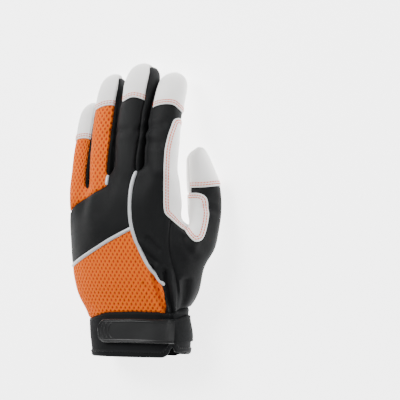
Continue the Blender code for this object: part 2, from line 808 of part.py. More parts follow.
def make_piping(name, line, start_gap, end_gap):
    """A piping along a line of the net, held back from what it meets at each end."""
    places = [P[c].copy() for c in line]
    ups = [N[c] for c in line]
    for end, step, gap in ((0, 1, start_gap), (len(line) - 1, -1, end_gap)):
        way = places[end + step] - places[end]
        places[end] = places[end] + way / np.linalg.norm(way) * gap
    tangents = []
    for i in range(len(line)):
        after = min(i + 1, len(line) - 1)
        before = max(i - 1, 0)
        tangents.append(P[line[after]] - P[line[before]])
    swept(name, places, ups, tangents, PIPING_PROFILE, GREY, 0.4)


main_line = [NET[row, PIPED_COLUMN] for row in range(CUFF_ROW + 2, ROWS + 1)]
make_piping("main_piping", main_line, CLEARANCE, CLEARANCE + SEAM)
band_line = [NET[BAND_ROW, c] for c in [34, 35, *range(PIPED_COLUMN + 1)]]
make_piping("band_piping", band_line, CLEARANCE, PIPED)
crotch_line = [NET[BAND_TOP_ROW, 8], NET[ROWS, 8]]
make_piping("crotch_piping", crotch_line, CLEARANCE + SEAM, CLEARANCE + SEAM)


# The order of the columns that the strap crosses
STRAP_ORDER = [*range(18), "heel", *range(18, 34)]


def on_column(row, column):
    """The net's surface at a row and a place in STRAP_ORDER that may lie between lines, and its normal."""
    low_row = min(int(row), ROWS - 1)
    place, normal = [], []
    for step in (0, 1):
        for r in (low_row, low_row + 1):
            key = STRAP_ORDER[min(int(column) + step, len(STRAP_ORDER) - 1)]
            corner = HEEL_COLUMN[r] if key == "heel" else NET[r, key]
            place.append(P[corner])
            normal.append(N[corner])
    down, across = row - low_row, column - int(column)
    weights = (
        (1 - across) * (1 - down),
        (1 - across) * down,
        across * (1 - down),
        across * down,
    )
    at = sum(w * p for w, p in zip(weights, place))
    up = sum(w * n for w, n in zip(weights, normal))
    return at, up / np.linalg.norm(up)


def make_overlay(name, rows, columns, under, height, colour, roughness):
    """A piece that lies on the net: rows by columns, its underside this far off, its top by height(i, j)."""
    low, high = [], []
    for j, (column, first, last) in enumerate(columns):
        for i, share in enumerate(rows):
            place, up = on_column(first + share * (last - first), column)
            low.append(place + up * under)
            high.append(place + up * (under + height(i, j)))
    count, depth = len(low), len(rows)
    solid = []
    for j in range(len(columns) - 1):
        for i in range(depth - 1):
            a, b = j * depth + i, (j + 1) * depth + i
            for triangle in ((a, b, b + 1), (a, b + 1, a + 1)):
                solid.append([count + k for k in triangle])
                solid.append(list(reversed(triangle)))
    rim = [(j + 1) * depth for j in range(-1, len(columns) - 1)]
    rim += [(len(columns) - 1) * depth + i for i in range(1, depth)]
    rim += [j * depth + depth - 1 for j in range(len(columns) - 2, -1, -1)]
    rim += [i for i in range(depth - 2, 0, -1)]
    for a, b in zip(rim, rim[1:] + rim[:1]):
        solid.append([a, b, b + count])
        solid.append([a, b + count, a + count])
    return make_object(name, low + high, solid, colour, roughness)


# The strap runs from its anchor under the wrist, round the thumb side and over the back
STRAP_COLUMNS = [(c, 1, 3) for c in (3, *range(4, 22))]
make_overlay(
    "strap_band", (0, 0.5, 1), STRAP_COLUMNS, CLEARANCE, lambda i, j: STRAP_WALL, BLACK, 0.85
)

# The moulded tab on the strap's end: column, then where its edges lie between rows 1 and 3
TAB_OUTLINE = (
    (2.75, 0.35, 0.65),
    (2.95, 0.14, 0.86),
    (3.25, 0.03, 0.97),
    (3.6, 0.0, 1.0),
    *((c, 0.0, 1.0) for c in range(4, 16)),
    (15.4, 0.02, 0.98),
    (15.7, 0.08, 0.92),
    (16.0, 0.25, 0.75),
)
TAB_ROWS = (0, 0.07, 0.15, 0.23, 0.5, 0.77, 0.85, 0.93, 1)


def tab_height(i, j):
    """The tab's raised double rim: one step in from its edge all round."""
    ring = min(i, len(TAB_ROWS) - 1 - i, j, len(TAB_OUTLINE) - 1 - j)
    return TAB_WALL + (TAB_RIM if ring in (1, 2) else 0)


make_overlay(
    "strap_tab",
    TAB_ROWS,
    [(c, 1 + 2 * low, 1 + 2 * high) for c, low, high in TAB_OUTLINE],
    2 * CLEARANCE + STRAP_WALL,
    tab_height,
    DARK_GREY,
    0.5,
)

# The leather tab sewn over the palm's heel and the cuff: share of its length, half width as a share
HEEL_TAB_OUTLINE = (
    (0.0, 0.70),
    (0.035, 0.76),
    (0.12, 0.74),
    (0.30, 0.62),
    (0.48, 0.63),
    (0.64, 0.78),
    (0.77, 0.96),
    (0.87, 1.0),
    (0.94, 0.84),
    (0.985, 0.52),
    (1.0, 0.25),
)


def make_heel_tab():
    """A flat-lying patch, its top found by looking up at the net from below."""
    skin = BVHTree.FromPolygons([tuple(p) for p in P], faces)
    steps = (-1, -0.6, -0.2, 0.2, 0.6, 1)
    low, high = [], []
    for along, half in HEEL_TAB_OUTLINE:
        for step in steps:
            x = HEEL_TAB_X + step * half * HEEL_TAB_WIDTH / 2
            y = HEEL_TAB_BOTTOM + along * HEEL_TAB_LENGTH
            hit = skin.ray_cast((x, y, -1), (0, 0, 1))[0]
            top = hit.z - CLEARANCE
            high.append((x, y, top))
            low.append((x, y, max(top - LEATHER, 0)))
    count, depth = len(low), len(steps)
    last = len(HEEL_TAB_OUTLINE) - 1
    solid = []
    for j in range(last):
        for i in range(depth - 1):
            a, b = j * depth + i, (j + 1) * depth + i
            for triangle in ((a, a + 1, b + 1), (a, b + 1, b)):
                solid.append([count + k for k in triangle])
                solid.append(list(reversed(triangle)))
    rim = [*range(depth), *((j + 1) * depth + depth - 1 for j in range(last))]
    rim += [last * depth + i for i in range(depth - 2, -1, -1)]
    rim += [j * depth for j in range(last - 1, 0, -1)]
    for a, b in zip(rim, rim[1:] + rim[:1]):
        solid.append([a, b, b + count])
        solid.append([a, b + count, a + count])
    make_object("heel_tab", low + high, solid, WHITE, 0.6)


make_heel_tab()


def stand_at_origin():
    """Hangs every piece from one empty that brings the middle of the glove's box over the world's origin."""
    pieces = list(bpy.data.objects)
    corners = np.array([v.co for piece in pieces for v in piece.data.vertices])
    middle = (corners.min(axis=0) + corners.max(axis=0)) / 2
    holder = bpy.data.objects.new("glove", None)
    bpy.context.collection.objects.link(holder)
    holder.location = (-middle[0], -middle[1], 0)
    for piece in pieces:
        piece.parent = holder


stand_at_origin()
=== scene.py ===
"""The looks of a left-hand work glove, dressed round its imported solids. Metres, +Y to the fingertips,
+X to the thumb side, +Z up out of the back of the hand, palm down on the floor."""

import math

import bpy
import numpy as np
from mathutils import Matrix, Vector, noise
from mathutils.bvhtree import BVHTree
from mathutils.kdtree import KDTree


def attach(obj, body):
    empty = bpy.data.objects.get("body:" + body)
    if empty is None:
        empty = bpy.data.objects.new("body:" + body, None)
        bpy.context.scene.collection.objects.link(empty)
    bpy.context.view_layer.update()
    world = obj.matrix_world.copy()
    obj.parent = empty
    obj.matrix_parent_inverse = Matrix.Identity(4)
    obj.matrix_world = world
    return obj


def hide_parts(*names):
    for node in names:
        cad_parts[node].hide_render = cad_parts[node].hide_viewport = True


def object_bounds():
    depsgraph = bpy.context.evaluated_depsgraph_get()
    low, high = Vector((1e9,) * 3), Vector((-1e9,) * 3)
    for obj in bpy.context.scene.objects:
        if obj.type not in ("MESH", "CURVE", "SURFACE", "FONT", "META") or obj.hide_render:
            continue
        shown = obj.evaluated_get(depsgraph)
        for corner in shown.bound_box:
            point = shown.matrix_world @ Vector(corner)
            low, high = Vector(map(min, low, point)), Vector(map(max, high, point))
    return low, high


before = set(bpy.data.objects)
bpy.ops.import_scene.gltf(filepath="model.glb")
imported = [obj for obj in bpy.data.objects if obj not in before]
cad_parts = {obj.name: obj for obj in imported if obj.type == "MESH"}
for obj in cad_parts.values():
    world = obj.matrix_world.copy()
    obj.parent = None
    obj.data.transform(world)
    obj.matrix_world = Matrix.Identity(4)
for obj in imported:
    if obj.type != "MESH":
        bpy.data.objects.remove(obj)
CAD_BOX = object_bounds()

# The hand form
# Gloves are sewn to the shape of a filled hand. This net of lines is that form, with the same sizes
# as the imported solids: its lines are the seams, and its patches are the sewn panels.
# Lengths along the hand
CUFF_LENGTH = 0.036
PALM_LENGTH = 0.114
INDEX_LENGTH = 0.091
MIDDLE_LENGTH = 0.100
RING_LENGTH = 0.0965
LITTLE_LENGTH = 0.082
THUMB_LENGTH = 0.061
CAP_LENGTH = 0.0355

# Widths, depths and heights
CUFF_WIDTH = 0.0938
CUFF_DEPTH = 0.047
KNUCKLE_HEIGHT = 0.060
KNUCKLE_ARCH = 0.008
HAND_SHIFT = -0.006
FINGER_WIDTH = 0.0262
FINGER_DEPTH = 0.021
FINGER_GAP = 0.0008
THUMB_WIDTH = 0.029
THUMB_DEPTH = 0.026

# The palm's leather, how far lapped leather stands off the form, and the gap between two pieces
LEATHER = 0.0015
PATCH_LIFT = 0.0007
CLEARANCE = 0.0003

# The cuff's notch and the strap's place over it, and how high the tab under the heel holds the wrist
NOTCH_DEPTH = 0.010
STRAP_BOTTOM = 0.0118
STRAP_WIDTH = 0.0196
HEEL_TAB_STACK = LEATHER + CLEARANCE

# The net's columns: 0 to 16 over the back, 17 the thumb side, 18 to 34 under the palm, 35 the outer side
COLUMNS = 36
BACK_END = 16
THUMB_SIDE = 17
PALM_START = 18
PALM_END = 34
OUTER_SIDE = 35
ROWS = 16
CUFF_ROW = 4
BAND_ROW = 10
BAND_TOP_ROW = 15
THUMB_ROW = 7
WEB_ROW = 11
PIPED_COLUMN = 12
HEM_RING = 8
THUMB_HEM_RING = 7

# The cuff's rows: its edge, the strap's bottom, middle and top
CUFF_ROWS = (0, STRAP_BOTTOM, STRAP_BOTTOM + STRAP_WIDTH / 2, STRAP_BOTTOM + STRAP_WIDTH)

# How far the cuff's edge rises at each column round its notch, as shares of NOTCH_DEPTH
NOTCH_EDGE = {13: 0.12, 14: 0.36, 15: 1.0, 16: 0.42, 17: 0.40, 18: 0.15}

# The ten columns whose places are given; the others lie evenly between them
LINES = (0, 4, 8, 12, 16, 18, 22, 26, 30, 34)

# Where each row crosses the ten lines, as shares of PALM_LENGTH past the cuff seam:
# back from the outer edge to the thumb side, then palm from the thumb side to the outer edge
ROW_PLACES = {
    4: (-0.053, 0.0, 0.009, 0.0, 0.0, 0.053, 0.061, 0.061, 0.053, 0.018),
    7: (0.140, 0.215, 0.268, 0.307, 0.263, 0.230, 0.263, 0.263, 0.228, 0.175),
    10: (0.333, 0.430, 0.526, 0.614, 0.596, 0.535, 0.535, 0.500, 0.430, 0.360),
    11: (0.412, 0.509, 0.605, 0.684, 0.697, 0.623, 0.614, 0.588, 0.518, 0.439),
    15: (0.728, 0.833, 0.921, 0.974, 0.965, 0.886, 0.877, 0.868, 0.816, 0.728),
    16: (0.798, 0.886, 0.991, 1.018, 1.009, 0.956, 0.947, 0.947, 0.895, 0.798),
}

# Where the lines lie across the hand, from -1 at the outer side to 1 at the thumb side,
# by share of PALM_LENGTH past the cuff seam
LINE_PLACES = {
    -0.32: (-0.93, -0.45, 0.06, 0.70, 0.92, 0.62, 0.30, -0.10, -0.50, -0.93),
    0.00: (-0.93, -0.43, 0.12, 0.74, 0.88, 0.60, 0.25, -0.12, -0.50, -0.93),
    0.20: (-0.94, -0.47, 0.08, 0.68, 0.77, 0.50, 0.20, -0.14, -0.50, -0.94),
    0.32: (-0.94, -0.50, -0.02, 0.46, 0.74, 0.50, 0.22, -0.12, -0.52, -0.94),
    0.48: (-0.945, -0.53, -0.10, 0.34, 0.79, 0.62, 0.30, -0.10, -0.54, -0.94),
    0.62: (-0.945, -0.55, -0.12, 0.32, 0.89, 0.80, 0.38, -0.08, -0.55, -0.94),
    0.80: (-0.945, -0.56, -0.11, 0.33, 0.95, 0.92, 0.42, -0.08, -0.56, -0.94),
    1.00: (-0.945, -0.56, -0.08, 0.44, 0.95, 0.94, 0.44, -0.08, -0.56, -0.94),
}

# The hand's section by share of PALM_LENGTH: left and right edges as shares of KNUCKLE_WIDTH from
# SECTION_MIDDLE, top and bottom as shares of KNUCKLE_HEIGHT
HAND_SECTIONS = {
    0.12: (-0.535, 0.515, 0.820, 0.035),
    0.245: (-0.570, 0.575, 0.885, 0.110),
    0.43: (-0.590, 0.550, 0.950, 0.240),
    0.62: (-0.595, 0.475, 1.000, 0.365),
    0.82: (-0.580, 0.441, 1.000, 0.460),
    1.00: (-0.570, 0.440, 0.958, 0.570),
}

# The cuff's section by share of CUFF_LENGTH: width as a share of CUFF_WIDTH, top and bottom of CUFF_DEPTH
CUFF_SECTIONS = {
    0.0: (0.908, 0.947, -0.050),
    0.5: (0.945, 0.957, -0.040),
    1.0: (1.000, 0.979, -0.020),
}

# The fingers from the little one to the index: length, sideways lean at the tip as a share of the
# length, width and depth as shares of the named sizes, and the downward pitch at the root in degrees
FINGERS = (
    ("little", LITTLE_LENGTH, -0.045, 0.80, 0.92, 15),
    ("ring", RING_LENGTH, -0.062, 0.92, 1.0, 8),
    ("middle", MIDDLE_LENGTH, -0.050, 1.0, 1.04, 6),
    ("index", INDEX_LENGTH, -0.045, 1.04, 1.02, 6),
)
KNUCKLE_WIDTH = sum(finger[3] * FINGER_WIDTH + FINGER_GAP for finger in FINGERS)
KNUCKLE_LEFT = HAND_SHIFT - KNUCKLE_WIDTH / 2
# What the sections' edges are measured from, as a share of KNUCKLE_WIDTH from its outer edge
SECTION_MIDDLE = 0.56

# Rings past the cap's hem: share of CAP_LENGTH left to the tip, width share, depth share
TIP_RINGS = ((0.72, 1.0, 0.97), (0.45, 0.98, 0.91), (0.21, 0.86, 0.75), (0.06, 0.58, 0.46))
TIP_HEIGHT = 0.50

# Angles of a finger ring's twelve points, from the outer side over the back to the thumb side and
# under the palm side
RING_ANGLES = (180, 145, 117.5, 90, 62.5, 35, 0, -35, -62.5, -90, -117.5, -145)
SIDE_L, BACK_0, BACK_4, SIDE_R, PALM_4, PALM_0 = 0, 1, 5, 6, 7, 11

# The thumb's ring has one point more, on its outer side
THUMB_ANGLES = (180, 145, 117.5, 90, 62.5, 35, 9, -18, -42, -66, -90, -117.5, -145)
THUMB_PALM_4, THUMB_PALM_0 = 8, 12

# The thumb's rings from its root at the web: web point and outer point (sideways as shares of
# THUMB_WIDTH, forward of THUMB_LENGTH), then height of the middle and half depth as shares of THUMB_DEPTH
THUMB_RINGS = (
    (0.06, -0.05, 0.50, -0.60, 1.04, 0.65),
    (0.05, -0.06, 0.65, -0.39, 0.90, 0.60),
    (-0.02, -0.01, 0.73, -0.19, 0.77, 0.555),
    (-0.12, 0.10, 0.77, -0.01, 0.65, 0.525),
    (-0.19, 0.23, 0.77, 0.17, 0.56, 0.51),
    (-0.24, 0.35, 0.74, 0.335, 0.515, 0.50),
    (-0.28, 0.465, 0.69, 0.475, 0.49, 0.49),
    (-0.30, 0.60, 0.58, 0.60, 0.475, 0.475),
    (-0.30, 0.745, 0.43, 0.745, 0.455, 0.435),
    (-0.29, 0.865, 0.30, 0.87, 0.435, 0.36),
    (-0.14, 0.95, 0.19, 0.955, 0.425, 0.23),
)
THUMB_TIP = (0.08, 1.0, 0.415)


def smooth_read(table, place):
    """Each column of the table at this place, on a smooth curve through its rows."""
    xs = np.array(list(table))
    ys = np.array([table[x] for x in table])
    slopes = np.gradient(ys, xs, axis=0)
    i = int(np.clip(np.searchsorted(xs, place) - 1, 0, len(xs) - 2))
    step = xs[i + 1] - xs[i]
    t = np.clip((place - xs[i]) / step, 0, 1)
    return (
        (1 + 2 * t) * (1 - t) ** 2 * ys[i]
        + t * (1 - t) ** 2 * step * slopes[i]
        + t * t * (3 - 2 * t) * ys[i + 1]
        + t * t * (t - 1) * step * slopes[i + 1]
    )


def section_table():
    """Left, right, top and bottom of the whole hand by distance from the cuff's edge."""
    table = {}
    for share, (width, top, bottom) in CUFF_SECTIONS.items():
        half = width * CUFF_WIDTH / 2
        table[share * CUFF_LENGTH] = (-half, half, top * CUFF_DEPTH, bottom * CUFF_DEPTH)
    middle = KNUCKLE_LEFT + SECTION_MIDDLE * KNUCKLE_WIDTH
    for share, (left, right, top, bottom) in HAND_SECTIONS.items():
        table[CUFF_LENGTH + share * PALM_LENGTH] = (
            middle + left * KNUCKLE_WIDTH,
            middle + right * KNUCKLE_WIDTH,
            top * KNUCKLE_HEIGHT,
            bottom * KNUCKLE_HEIGHT,
        )
    return table


SECTIONS = section_table()
# The power of the hand's oval sections: 2 is an ellipse, more is squarer
ROUNDNESS = 2.5


def finger_edge(finger):
    """The side of a finger's root that is further from the thumb."""
    return KNUCKLE_LEFT + sum(f[3] * FINGER_WIDTH + FINGER_GAP for f in FINGERS[:finger])


CREST_X = (finger_edge(2) + finger_edge(3)) / 2
# The share of PALM_LENGTH over which the arch grows from flat
ARCH_GROWN = 0.6


def arch_drop(x, y):
    """How far the hand's arch falls below its crest at this place."""
    grown = np.clip((y - CUFF_LENGTH) / (ARCH_GROWN * PALM_LENGTH), 0, 1)
    return KNUCKLE_ARCH * grown * ((x - CREST_X) / (KNUCKLE_WIDTH / 2)) ** 2


def hand_point(y, across, face):
    """A point of the hand's surface: across from -1 to 1, face 1 on the back, -1 on the palm, 0 at a side."""
    left, right, top, bottom = smooth_read(SECTIONS, y)
    x = (left + right) / 2 + across * (right - left) / 2
    half = (top - bottom) / 2
    lift = half * (1 - min(abs(across), 1) ** ROUNDNESS) ** (1 / ROUNDNESS)
    return np.array([x, y, (top + bottom) / 2 + face * lift - arch_drop(x, y)])


def finger_root(finger):
    """The middle of a finger's root."""
    x = (finger_edge(finger) + finger_edge(finger + 1)) / 2
    _, _, top, _ = smooth_read(SECTIONS, CUFF_LENGTH + PALM_LENGTH)
    return np.array([x, 0, top - FINGER_DEPTH / 2 - arch_drop(x, CUFF_LENGTH + PALM_LENGTH)])


def ring_point(centre, side, up, half_width, half_depth, angle):
    turn = math.radians(angle)
    return centre + side * half_width * math.cos(turn) + up * half_depth * math.sin(turn)


points = []
faces = []
face_names = []


def add_point(place):
    points.append(np.array(place, float))
    return len(points) - 1


def add_face(corners, name):
    faces.append(tuple(corners))
    face_names.append(name)


def row_line_places():
    """y and across for every row and column of the hand."""
    y = np.zeros((ROWS + 1, COLUMNS + 1))
    across = np.zeros((ROWS + 1, COLUMNS + 1))
    for row in range(ROWS + 1):
        if row < CUFF_ROW:
            seam = CUFF_LENGTH + PALM_LENGTH * np.array(ROW_PLACES[CUFF_ROW])
            at_lines = seam * CUFF_ROWS[row] / CUFF_LENGTH
        else:
            keys = sorted(ROW_PLACES)
            at_lines = np.array(
                [np.interp(row, keys, [ROW_PLACES[k][line] for k in keys]) for line in range(10)]
            )
            at_lines = CUFF_LENGTH + PALM_LENGTH * at_lines
        spread = []
        for line, place in enumerate(at_lines):
            spread.append(smooth_read(LINE_PLACES, (place - CUFF_LENGTH) / PALM_LENGTH)[line])
        for column in range(COLUMNS + 1):
            if column <= BACK_END or PALM_START <= column <= PALM_END:
                first = 0 if column <= BACK_END else 5
                known = LINES[first : first + 5]
                y[row, column] = np.interp(column, known, at_lines[first : first + 5])
                across[row, column] = np.interp(column, known, spread[first : first + 5])
            elif column == THUMB_SIDE:
                y[row, column] = (at_lines[4] + at_lines[5]) / 2
                across[row, column] = 1
            elif column == OUTER_SIDE:
                y[row, column] = (at_lines[9] + at_lines[0]) / 2
                across[row, column] = -1
    return y, across


def palm_column(finger):
    """The first of the five columns under a finger; its five over the back start at four times its number."""
    return PALM_START + 4 * (3 - finger)


def finger_ring_zero(finger):
    """The points where a finger's tube meets the hand, as (column, place) without its y."""
    centre = finger_root(finger)
    _, _, _, wide, deep, _ = FINGERS[finger]
    side, up = np.array([1.0, 0, 0]), np.array([0, 0, 1.0])
    found = {}
    for column, first in ((4 * finger, BACK_0), (palm_column(finger), PALM_4)):
        for k in range(5):
            found[column + k] = ring_point(
                centre, side, up, wide * FINGER_WIDTH / 2, deep * FINGER_DEPTH / 2, RING_ANGLES[first + k]
            )
    return found


# The column between 17 and 18 that rounds the wrist below the thumb, and ends at the thumb's root:
# its points, and its place across as a fixed part and a share of column 18's
HEEL_COLUMN = []
HEEL_ACROSS = (0.57, 0.5)

# How much of the way each row next to the knuckles goes from the hand's oval to the fingers' rings
ROOT_BLEND = {16: 1.0, 15: 0.62, 14: 0.30, 13: 0.10}


def build_hand():
    """The hand's net: net[row][column] is a point's number."""
    y, across = row_line_places()
    roots = {}
    for finger in range(4):
        for column, place in finger_ring_zero(finger).items():
            roots.setdefault(column, []).append(place)
    roots = {column: np.mean(places, axis=0) for column, places in roots.items()}
    net = np.zeros((ROWS + 1, COLUMNS), int)
    for row in range(ROWS + 1):
        for column in range(COLUMNS):
            face = 0 if column in (THUMB_SIDE, OUTER_SIDE) else (1 if column < THUMB_SIDE else -1)
            place = hand_point(y[row, column], across[row, column], face)
            if column == THUMB_SIDE and row <= THUMB_ROW:
                corner = HEEL_ACROSS[0] + HEEL_ACROSS[1] * across[row, PALM_START]
                HEEL_COLUMN.append(add_point(hand_point(y[row, THUMB_SIDE], corner, -1)))
            if row in ROOT_BLEND and column in roots:
                crest = hand_point(y[ROWS, column], across[ROWS, column], face)
                target = roots[column] + np.array([0, 0, place[2] - crest[2]])
                target[1] = place[1]
                place = place + ROOT_BLEND[row] * (target - place)
            net[row, column] = add_point(place)
    for column, share in NOTCH_EDGE.items():
        points[net[0, column]][1] = share * NOTCH_DEPTH
    points[HEEL_COLUMN[0]][1] = NOTCH_EDGE[PALM_START] * NOTCH_DEPTH
    return net


NET = build_hand()


def panel_of_hand(row, column):
    if row < CUFF_ROW:
        return "cuff"
    if column in (BACK_END, THUMB_SIDE):
        if THUMB_ROW <= row < WEB_ROW:
            return None
        return "thumb_panel" if row < THUMB_ROW else "web_patch"
    if column == BACK_END - 1 and row >= WEB_ROW:
        return "web_patch"
    if PALM_START <= column < PALM_END:
        return "palm_leather"
    if PIPED_COLUMN <= column < PALM_END:
        return "index_panel"
    if row < BAND_ROW:
        return "hand_mesh_panel"
    if row >= BAND_TOP_ROW and not 8 <= column < PIPED_COLUMN:
        return "finger_mesh_panel"
    return "band_panel"


def add_hand_faces():
    for row in range(ROWS):
        for column in range(COLUMNS):
            panel = panel_of_hand(row, column)
            after = (column + 1) % COLUMNS
            a, b, c, d = NET[row, column], NET[row, after], NET[row + 1, after], NET[row + 1, column]
            if column == THUMB_SIDE and row < THUMB_ROW:
                add_face((a, HEEL_COLUMN[row], HEEL_COLUMN[row + 1], d), panel)
                add_face((HEEL_COLUMN[row], b, c, HEEL_COLUMN[row + 1]), panel)
            elif panel:
                add_face((a, b, c, d), panel)


add_hand_faces()

# How far a crotch lies back from the knuckle line, as a share of FINGER_WIDTH
WEB_DIP = 0.1


def web_points():
    """The point between back and palm at each finger crotch."""
    found = []
    for finger in range(3):
        back = points[NET[ROWS, 4 * finger + 4]]
        under = points[NET[ROWS, palm_column(finger)]]
        place = (back + under) / 2
        place[1] -= WEB_DIP * FINGER_WIDTH
        found.append(add_point(place))
    return found


WEBS = web_points()
# Into how many short steps a finger's curl is divided
CURL_STEPS = 60


def finger_path(finger):
    """A function that gives a finger's middle, side and up at a share of its length."""
    _, length, lean, _, deep, pitch_at_root = FINGERS[finger]
    start = finger_root(finger)
    back = [points[NET[ROWS, 4 * finger + k]][1] for k in (0, 4)]
    under = [points[NET[ROWS, palm_column(finger) + k]][1] for k in (0, 4)]
    start[1] = (sum(back) + sum(under)) / 4
    drop = start[2] - TIP_HEIGHT * deep * FINGER_DEPTH
    mean = math.degrees(math.asin(drop / length))
    turn = 2 * (mean - pitch_at_root)

    def at(share):
        place = start.copy()
        for step in range(CURL_STEPS):
            pitch = math.radians(pitch_at_root + turn * share * (step + 0.5) / CURL_STEPS)
            stride = np.array([lean, math.cos(pitch), -math.sin(pitch)])
            place = place + stride * length * share / CURL_STEPS
        slope = math.radians(pitch_at_root + turn * share)
        side = np.array([1.0, -lean * math.cos(slope), 0])
        side /= np.linalg.norm(side)
        up = np.cross(side, np.array([lean, math.cos(slope), -math.sin(slope)]))
        return place, side, up / np.linalg.norm(up)

    return at


def panel_of_finger(finger, ring, k):
    """The panel of the face between ring points k and k + 1."""
    name = FINGERS[finger][0]
    if k in (SIDE_L, PALM_0):
        if finger:
            return ("little_ring", "ring_middle", "middle_index")[finger - 1] + "_fourchette"
        return "finger_mesh_panel" if ring < HEM_RING else name + "_cap"
    if k in (BACK_4, SIDE_R):
        if finger < 3:
            return ("little_ring", "ring_middle", "middle_index")[finger] + "_fourchette"
        if ring < HEM_RING - 1:
            return "web_patch"
    if PALM_4 <= k < PALM_0:
        return "palm_leather"
    if ring >= HEM_RING:
        return name + "_cap"
    if finger == 3:
        return "web_patch" if k == BACK_4 - 1 and ring < HEM_RING - 1 else "index_panel"
    return "band_panel" if finger == 2 else "finger_mesh_panel"


def add_tube_faces(rings, panel_at):
    """Faces from each ring of a finger or the thumb to the next."""
    for number, (near, far) in enumerate(zip(rings, rings[1:])):
        for k in range(len(near)):
            after = (k + 1) % len(near)
            add_face((near[k], near[after], far[after], far[k]), panel_at(number, k))


def close_tip(ring, tips, back_name, palm_name, back_faces, palm_faces):
    """Faces over a tube's end, with three points on the line from its one side to the other."""
    last = len(ring) - 1
    line = [ring[SIDE_L], *tips, ring[SIDE_R]]
    for k in range(4):
        name = back_name if k in back_faces else palm_name
        add_face((ring[BACK_0 + k], ring[BACK_0 + k + 1], line[k + 1], line[k]), name)
    line[4] = ring[last - 5]
    for k in range(4):
        name = back_name if k in palm_faces else palm_name
        add_face((line[k], line[k + 1], ring[last - k - 1], ring[last - k]), name)
    if last - 5 != SIDE_R:
        add_face((tips[2], ring[SIDE_R], ring[last - 5]), back_name)


# How much of the knuckle line's curve a finger's first rings keep
ROOT_CURVE_KEPT = {1: 0.45, 2: 0.18}


def build_finger(finger):
    name, length, _, wide, deep, _ = FINGERS[finger]
    wide *= FINGER_WIDTH / 2
    deep *= FINGER_DEPTH / 2
    first = [0] * 12
    first[SIDE_L] = WEBS[finger - 1] if finger else NET[ROWS, OUTER_SIDE]
    first[SIDE_R] = WEBS[finger] if finger < 3 else NET[ROWS, THUMB_SIDE]
    for k in range(5):
        first[BACK_0 + k] = NET[ROWS, 4 * finger + k]
        first[PALM_4 + k] = NET[ROWS, palm_column(finger) + k]
    at = finger_path(finger)
    hem = 1 - CAP_LENGTH / length
    shares = [(hem * (ring + 1) / HEM_RING, 1, 1) for ring in range(HEM_RING)]
    shares += [(1 - left * CAP_LENGTH / length, w, d) for left, w, d in TIP_RINGS]
    rings = [first]
    for number, (share, width, depth) in enumerate(shares, 1):
        centre, side, up = at(share)
        ring = []
        for k, angle in enumerate(RING_ANGLES):
            place = ring_point(centre, side, up, width * wide, depth * deep, angle)
            root_y = points[first[k]][1] - at(0)[0][1]
            place[1] += ROOT_CURVE_KEPT.get(number, 0) * root_y
            ring.append(add_point(place))
        rings.append(ring)
    add_tube_faces(rings, lambda ring, k: panel_of_finger(finger, ring, k))
    centre, side, up = at(1)
    half = TIP_RINGS[-1][1] * wide
    tips = [add_point(centre + side * half * share) for share in (-0.5, 0, 0.5)]
    close_tip(rings[-1], tips, name + "_cap", "palm_leather", (0, 1, 2, 3), ())
    return rings


FINGER_NETS = [build_finger(finger) for finger in range(4)]


def panel_of_thumb(ring, k):
    """The panel of a thumb face between ring points k and k + 1."""
    wrap = k in (SIDE_L, BACK_0, THUMB_PALM_0)
    if THUMB_PALM_4 + 1 <= k < THUMB_PALM_0:
        return "palm_leather"
    if ring >= THUMB_HEM_RING:
        return "palm_leather" if wrap else "thumb_cap"
    if ring >= THUMB_HEM_RING - 1:
        return "palm_leather" if wrap else "thumb_panel"
    if k in (SIDE_L, THUMB_PALM_0):
        return "web_patch"
    return "web_patch" if BACK_0 <= k < BACK_4 and ring >= 2 else "thumb_panel"


def build_thumb():
    first = [NET[WEB_ROW, THUMB_SIDE]]
    first += [NET[row, BACK_END] for row in range(WEB_ROW, THUMB_ROW - 1, -1)]
    first += [NET[THUMB_ROW, THUMB_SIDE], HEEL_COLUMN[THUMB_ROW]]
    first += [NET[row, PALM_START] for row in range(THUMB_ROW, WEB_ROW + 1)]
    root = points[first[0]]
    rings = [first]
    up = np.array([0, 0, 1.0])
    for web_x, web_y, outer_x, outer_y, height, half in THUMB_RINGS:
        web = root + np.array([web_x * THUMB_WIDTH, web_y * THUMB_LENGTH, 0])
        outer = root + np.array([outer_x * THUMB_WIDTH, outer_y * THUMB_LENGTH, 0])
        centre = (web + outer) / 2
        centre[2] = height * THUMB_DEPTH
        side = (outer - web) / np.linalg.norm(outer - web)
        width = np.linalg.norm(outer - web) / 2
        rings.append(
            [
                add_point(ring_point(centre, side, up, width, half * THUMB_DEPTH, angle))
                for angle in THUMB_ANGLES
            ]
        )
    add_tube_faces(rings, panel_of_thumb)
    tip = root + np.array([THUMB_TIP[0] * THUMB_WIDTH, THUMB_TIP[1] * THUMB_LENGTH, 0])
    tip[2] = THUMB_TIP[2] * THUMB_DEPTH
    across = points[rings[-1][SIDE_R]] - points[rings[-1][SIDE_L]]
    tips = [add_point(tip + across * share) for share in (-0.25, 0, 0.25)]
    close_tip(rings[-1], tips, "thumb_cap", "palm_leather", (1, 2, 3), (3,))
    return rings


THUMB_NET = build_thumb()


# How far points of the thumb's net shift to round the leather patch there: ring, point, then shares
# of THUMB_WIDTH sideways, THUMB_LENGTH forward and THUMB_DEPTH up
PATCH_SHIFTS = (
    (2, 4, 0, 0.03, 0),
    (2, 5, 0, 0.14, 0),
    (3, 5, -0.06, 0, 0.05),
    (4, 5, -0.08, 0, 0.06),
    (5, 5, -0.08, 0, 0.06),
    (6, 5, -0.12, -0.08, 0.08),
    (6, 4, -0.02, -0.02, 0),
)


def shape_web_patch():
    for ring, k, sideways, forward, up in PATCH_SHIFTS:
        shift = (sideways * THUMB_WIDTH, forward * THUMB_LENGTH, up * THUMB_DEPTH)
        points[THUMB_NET[ring][k]] += np.array(shift)


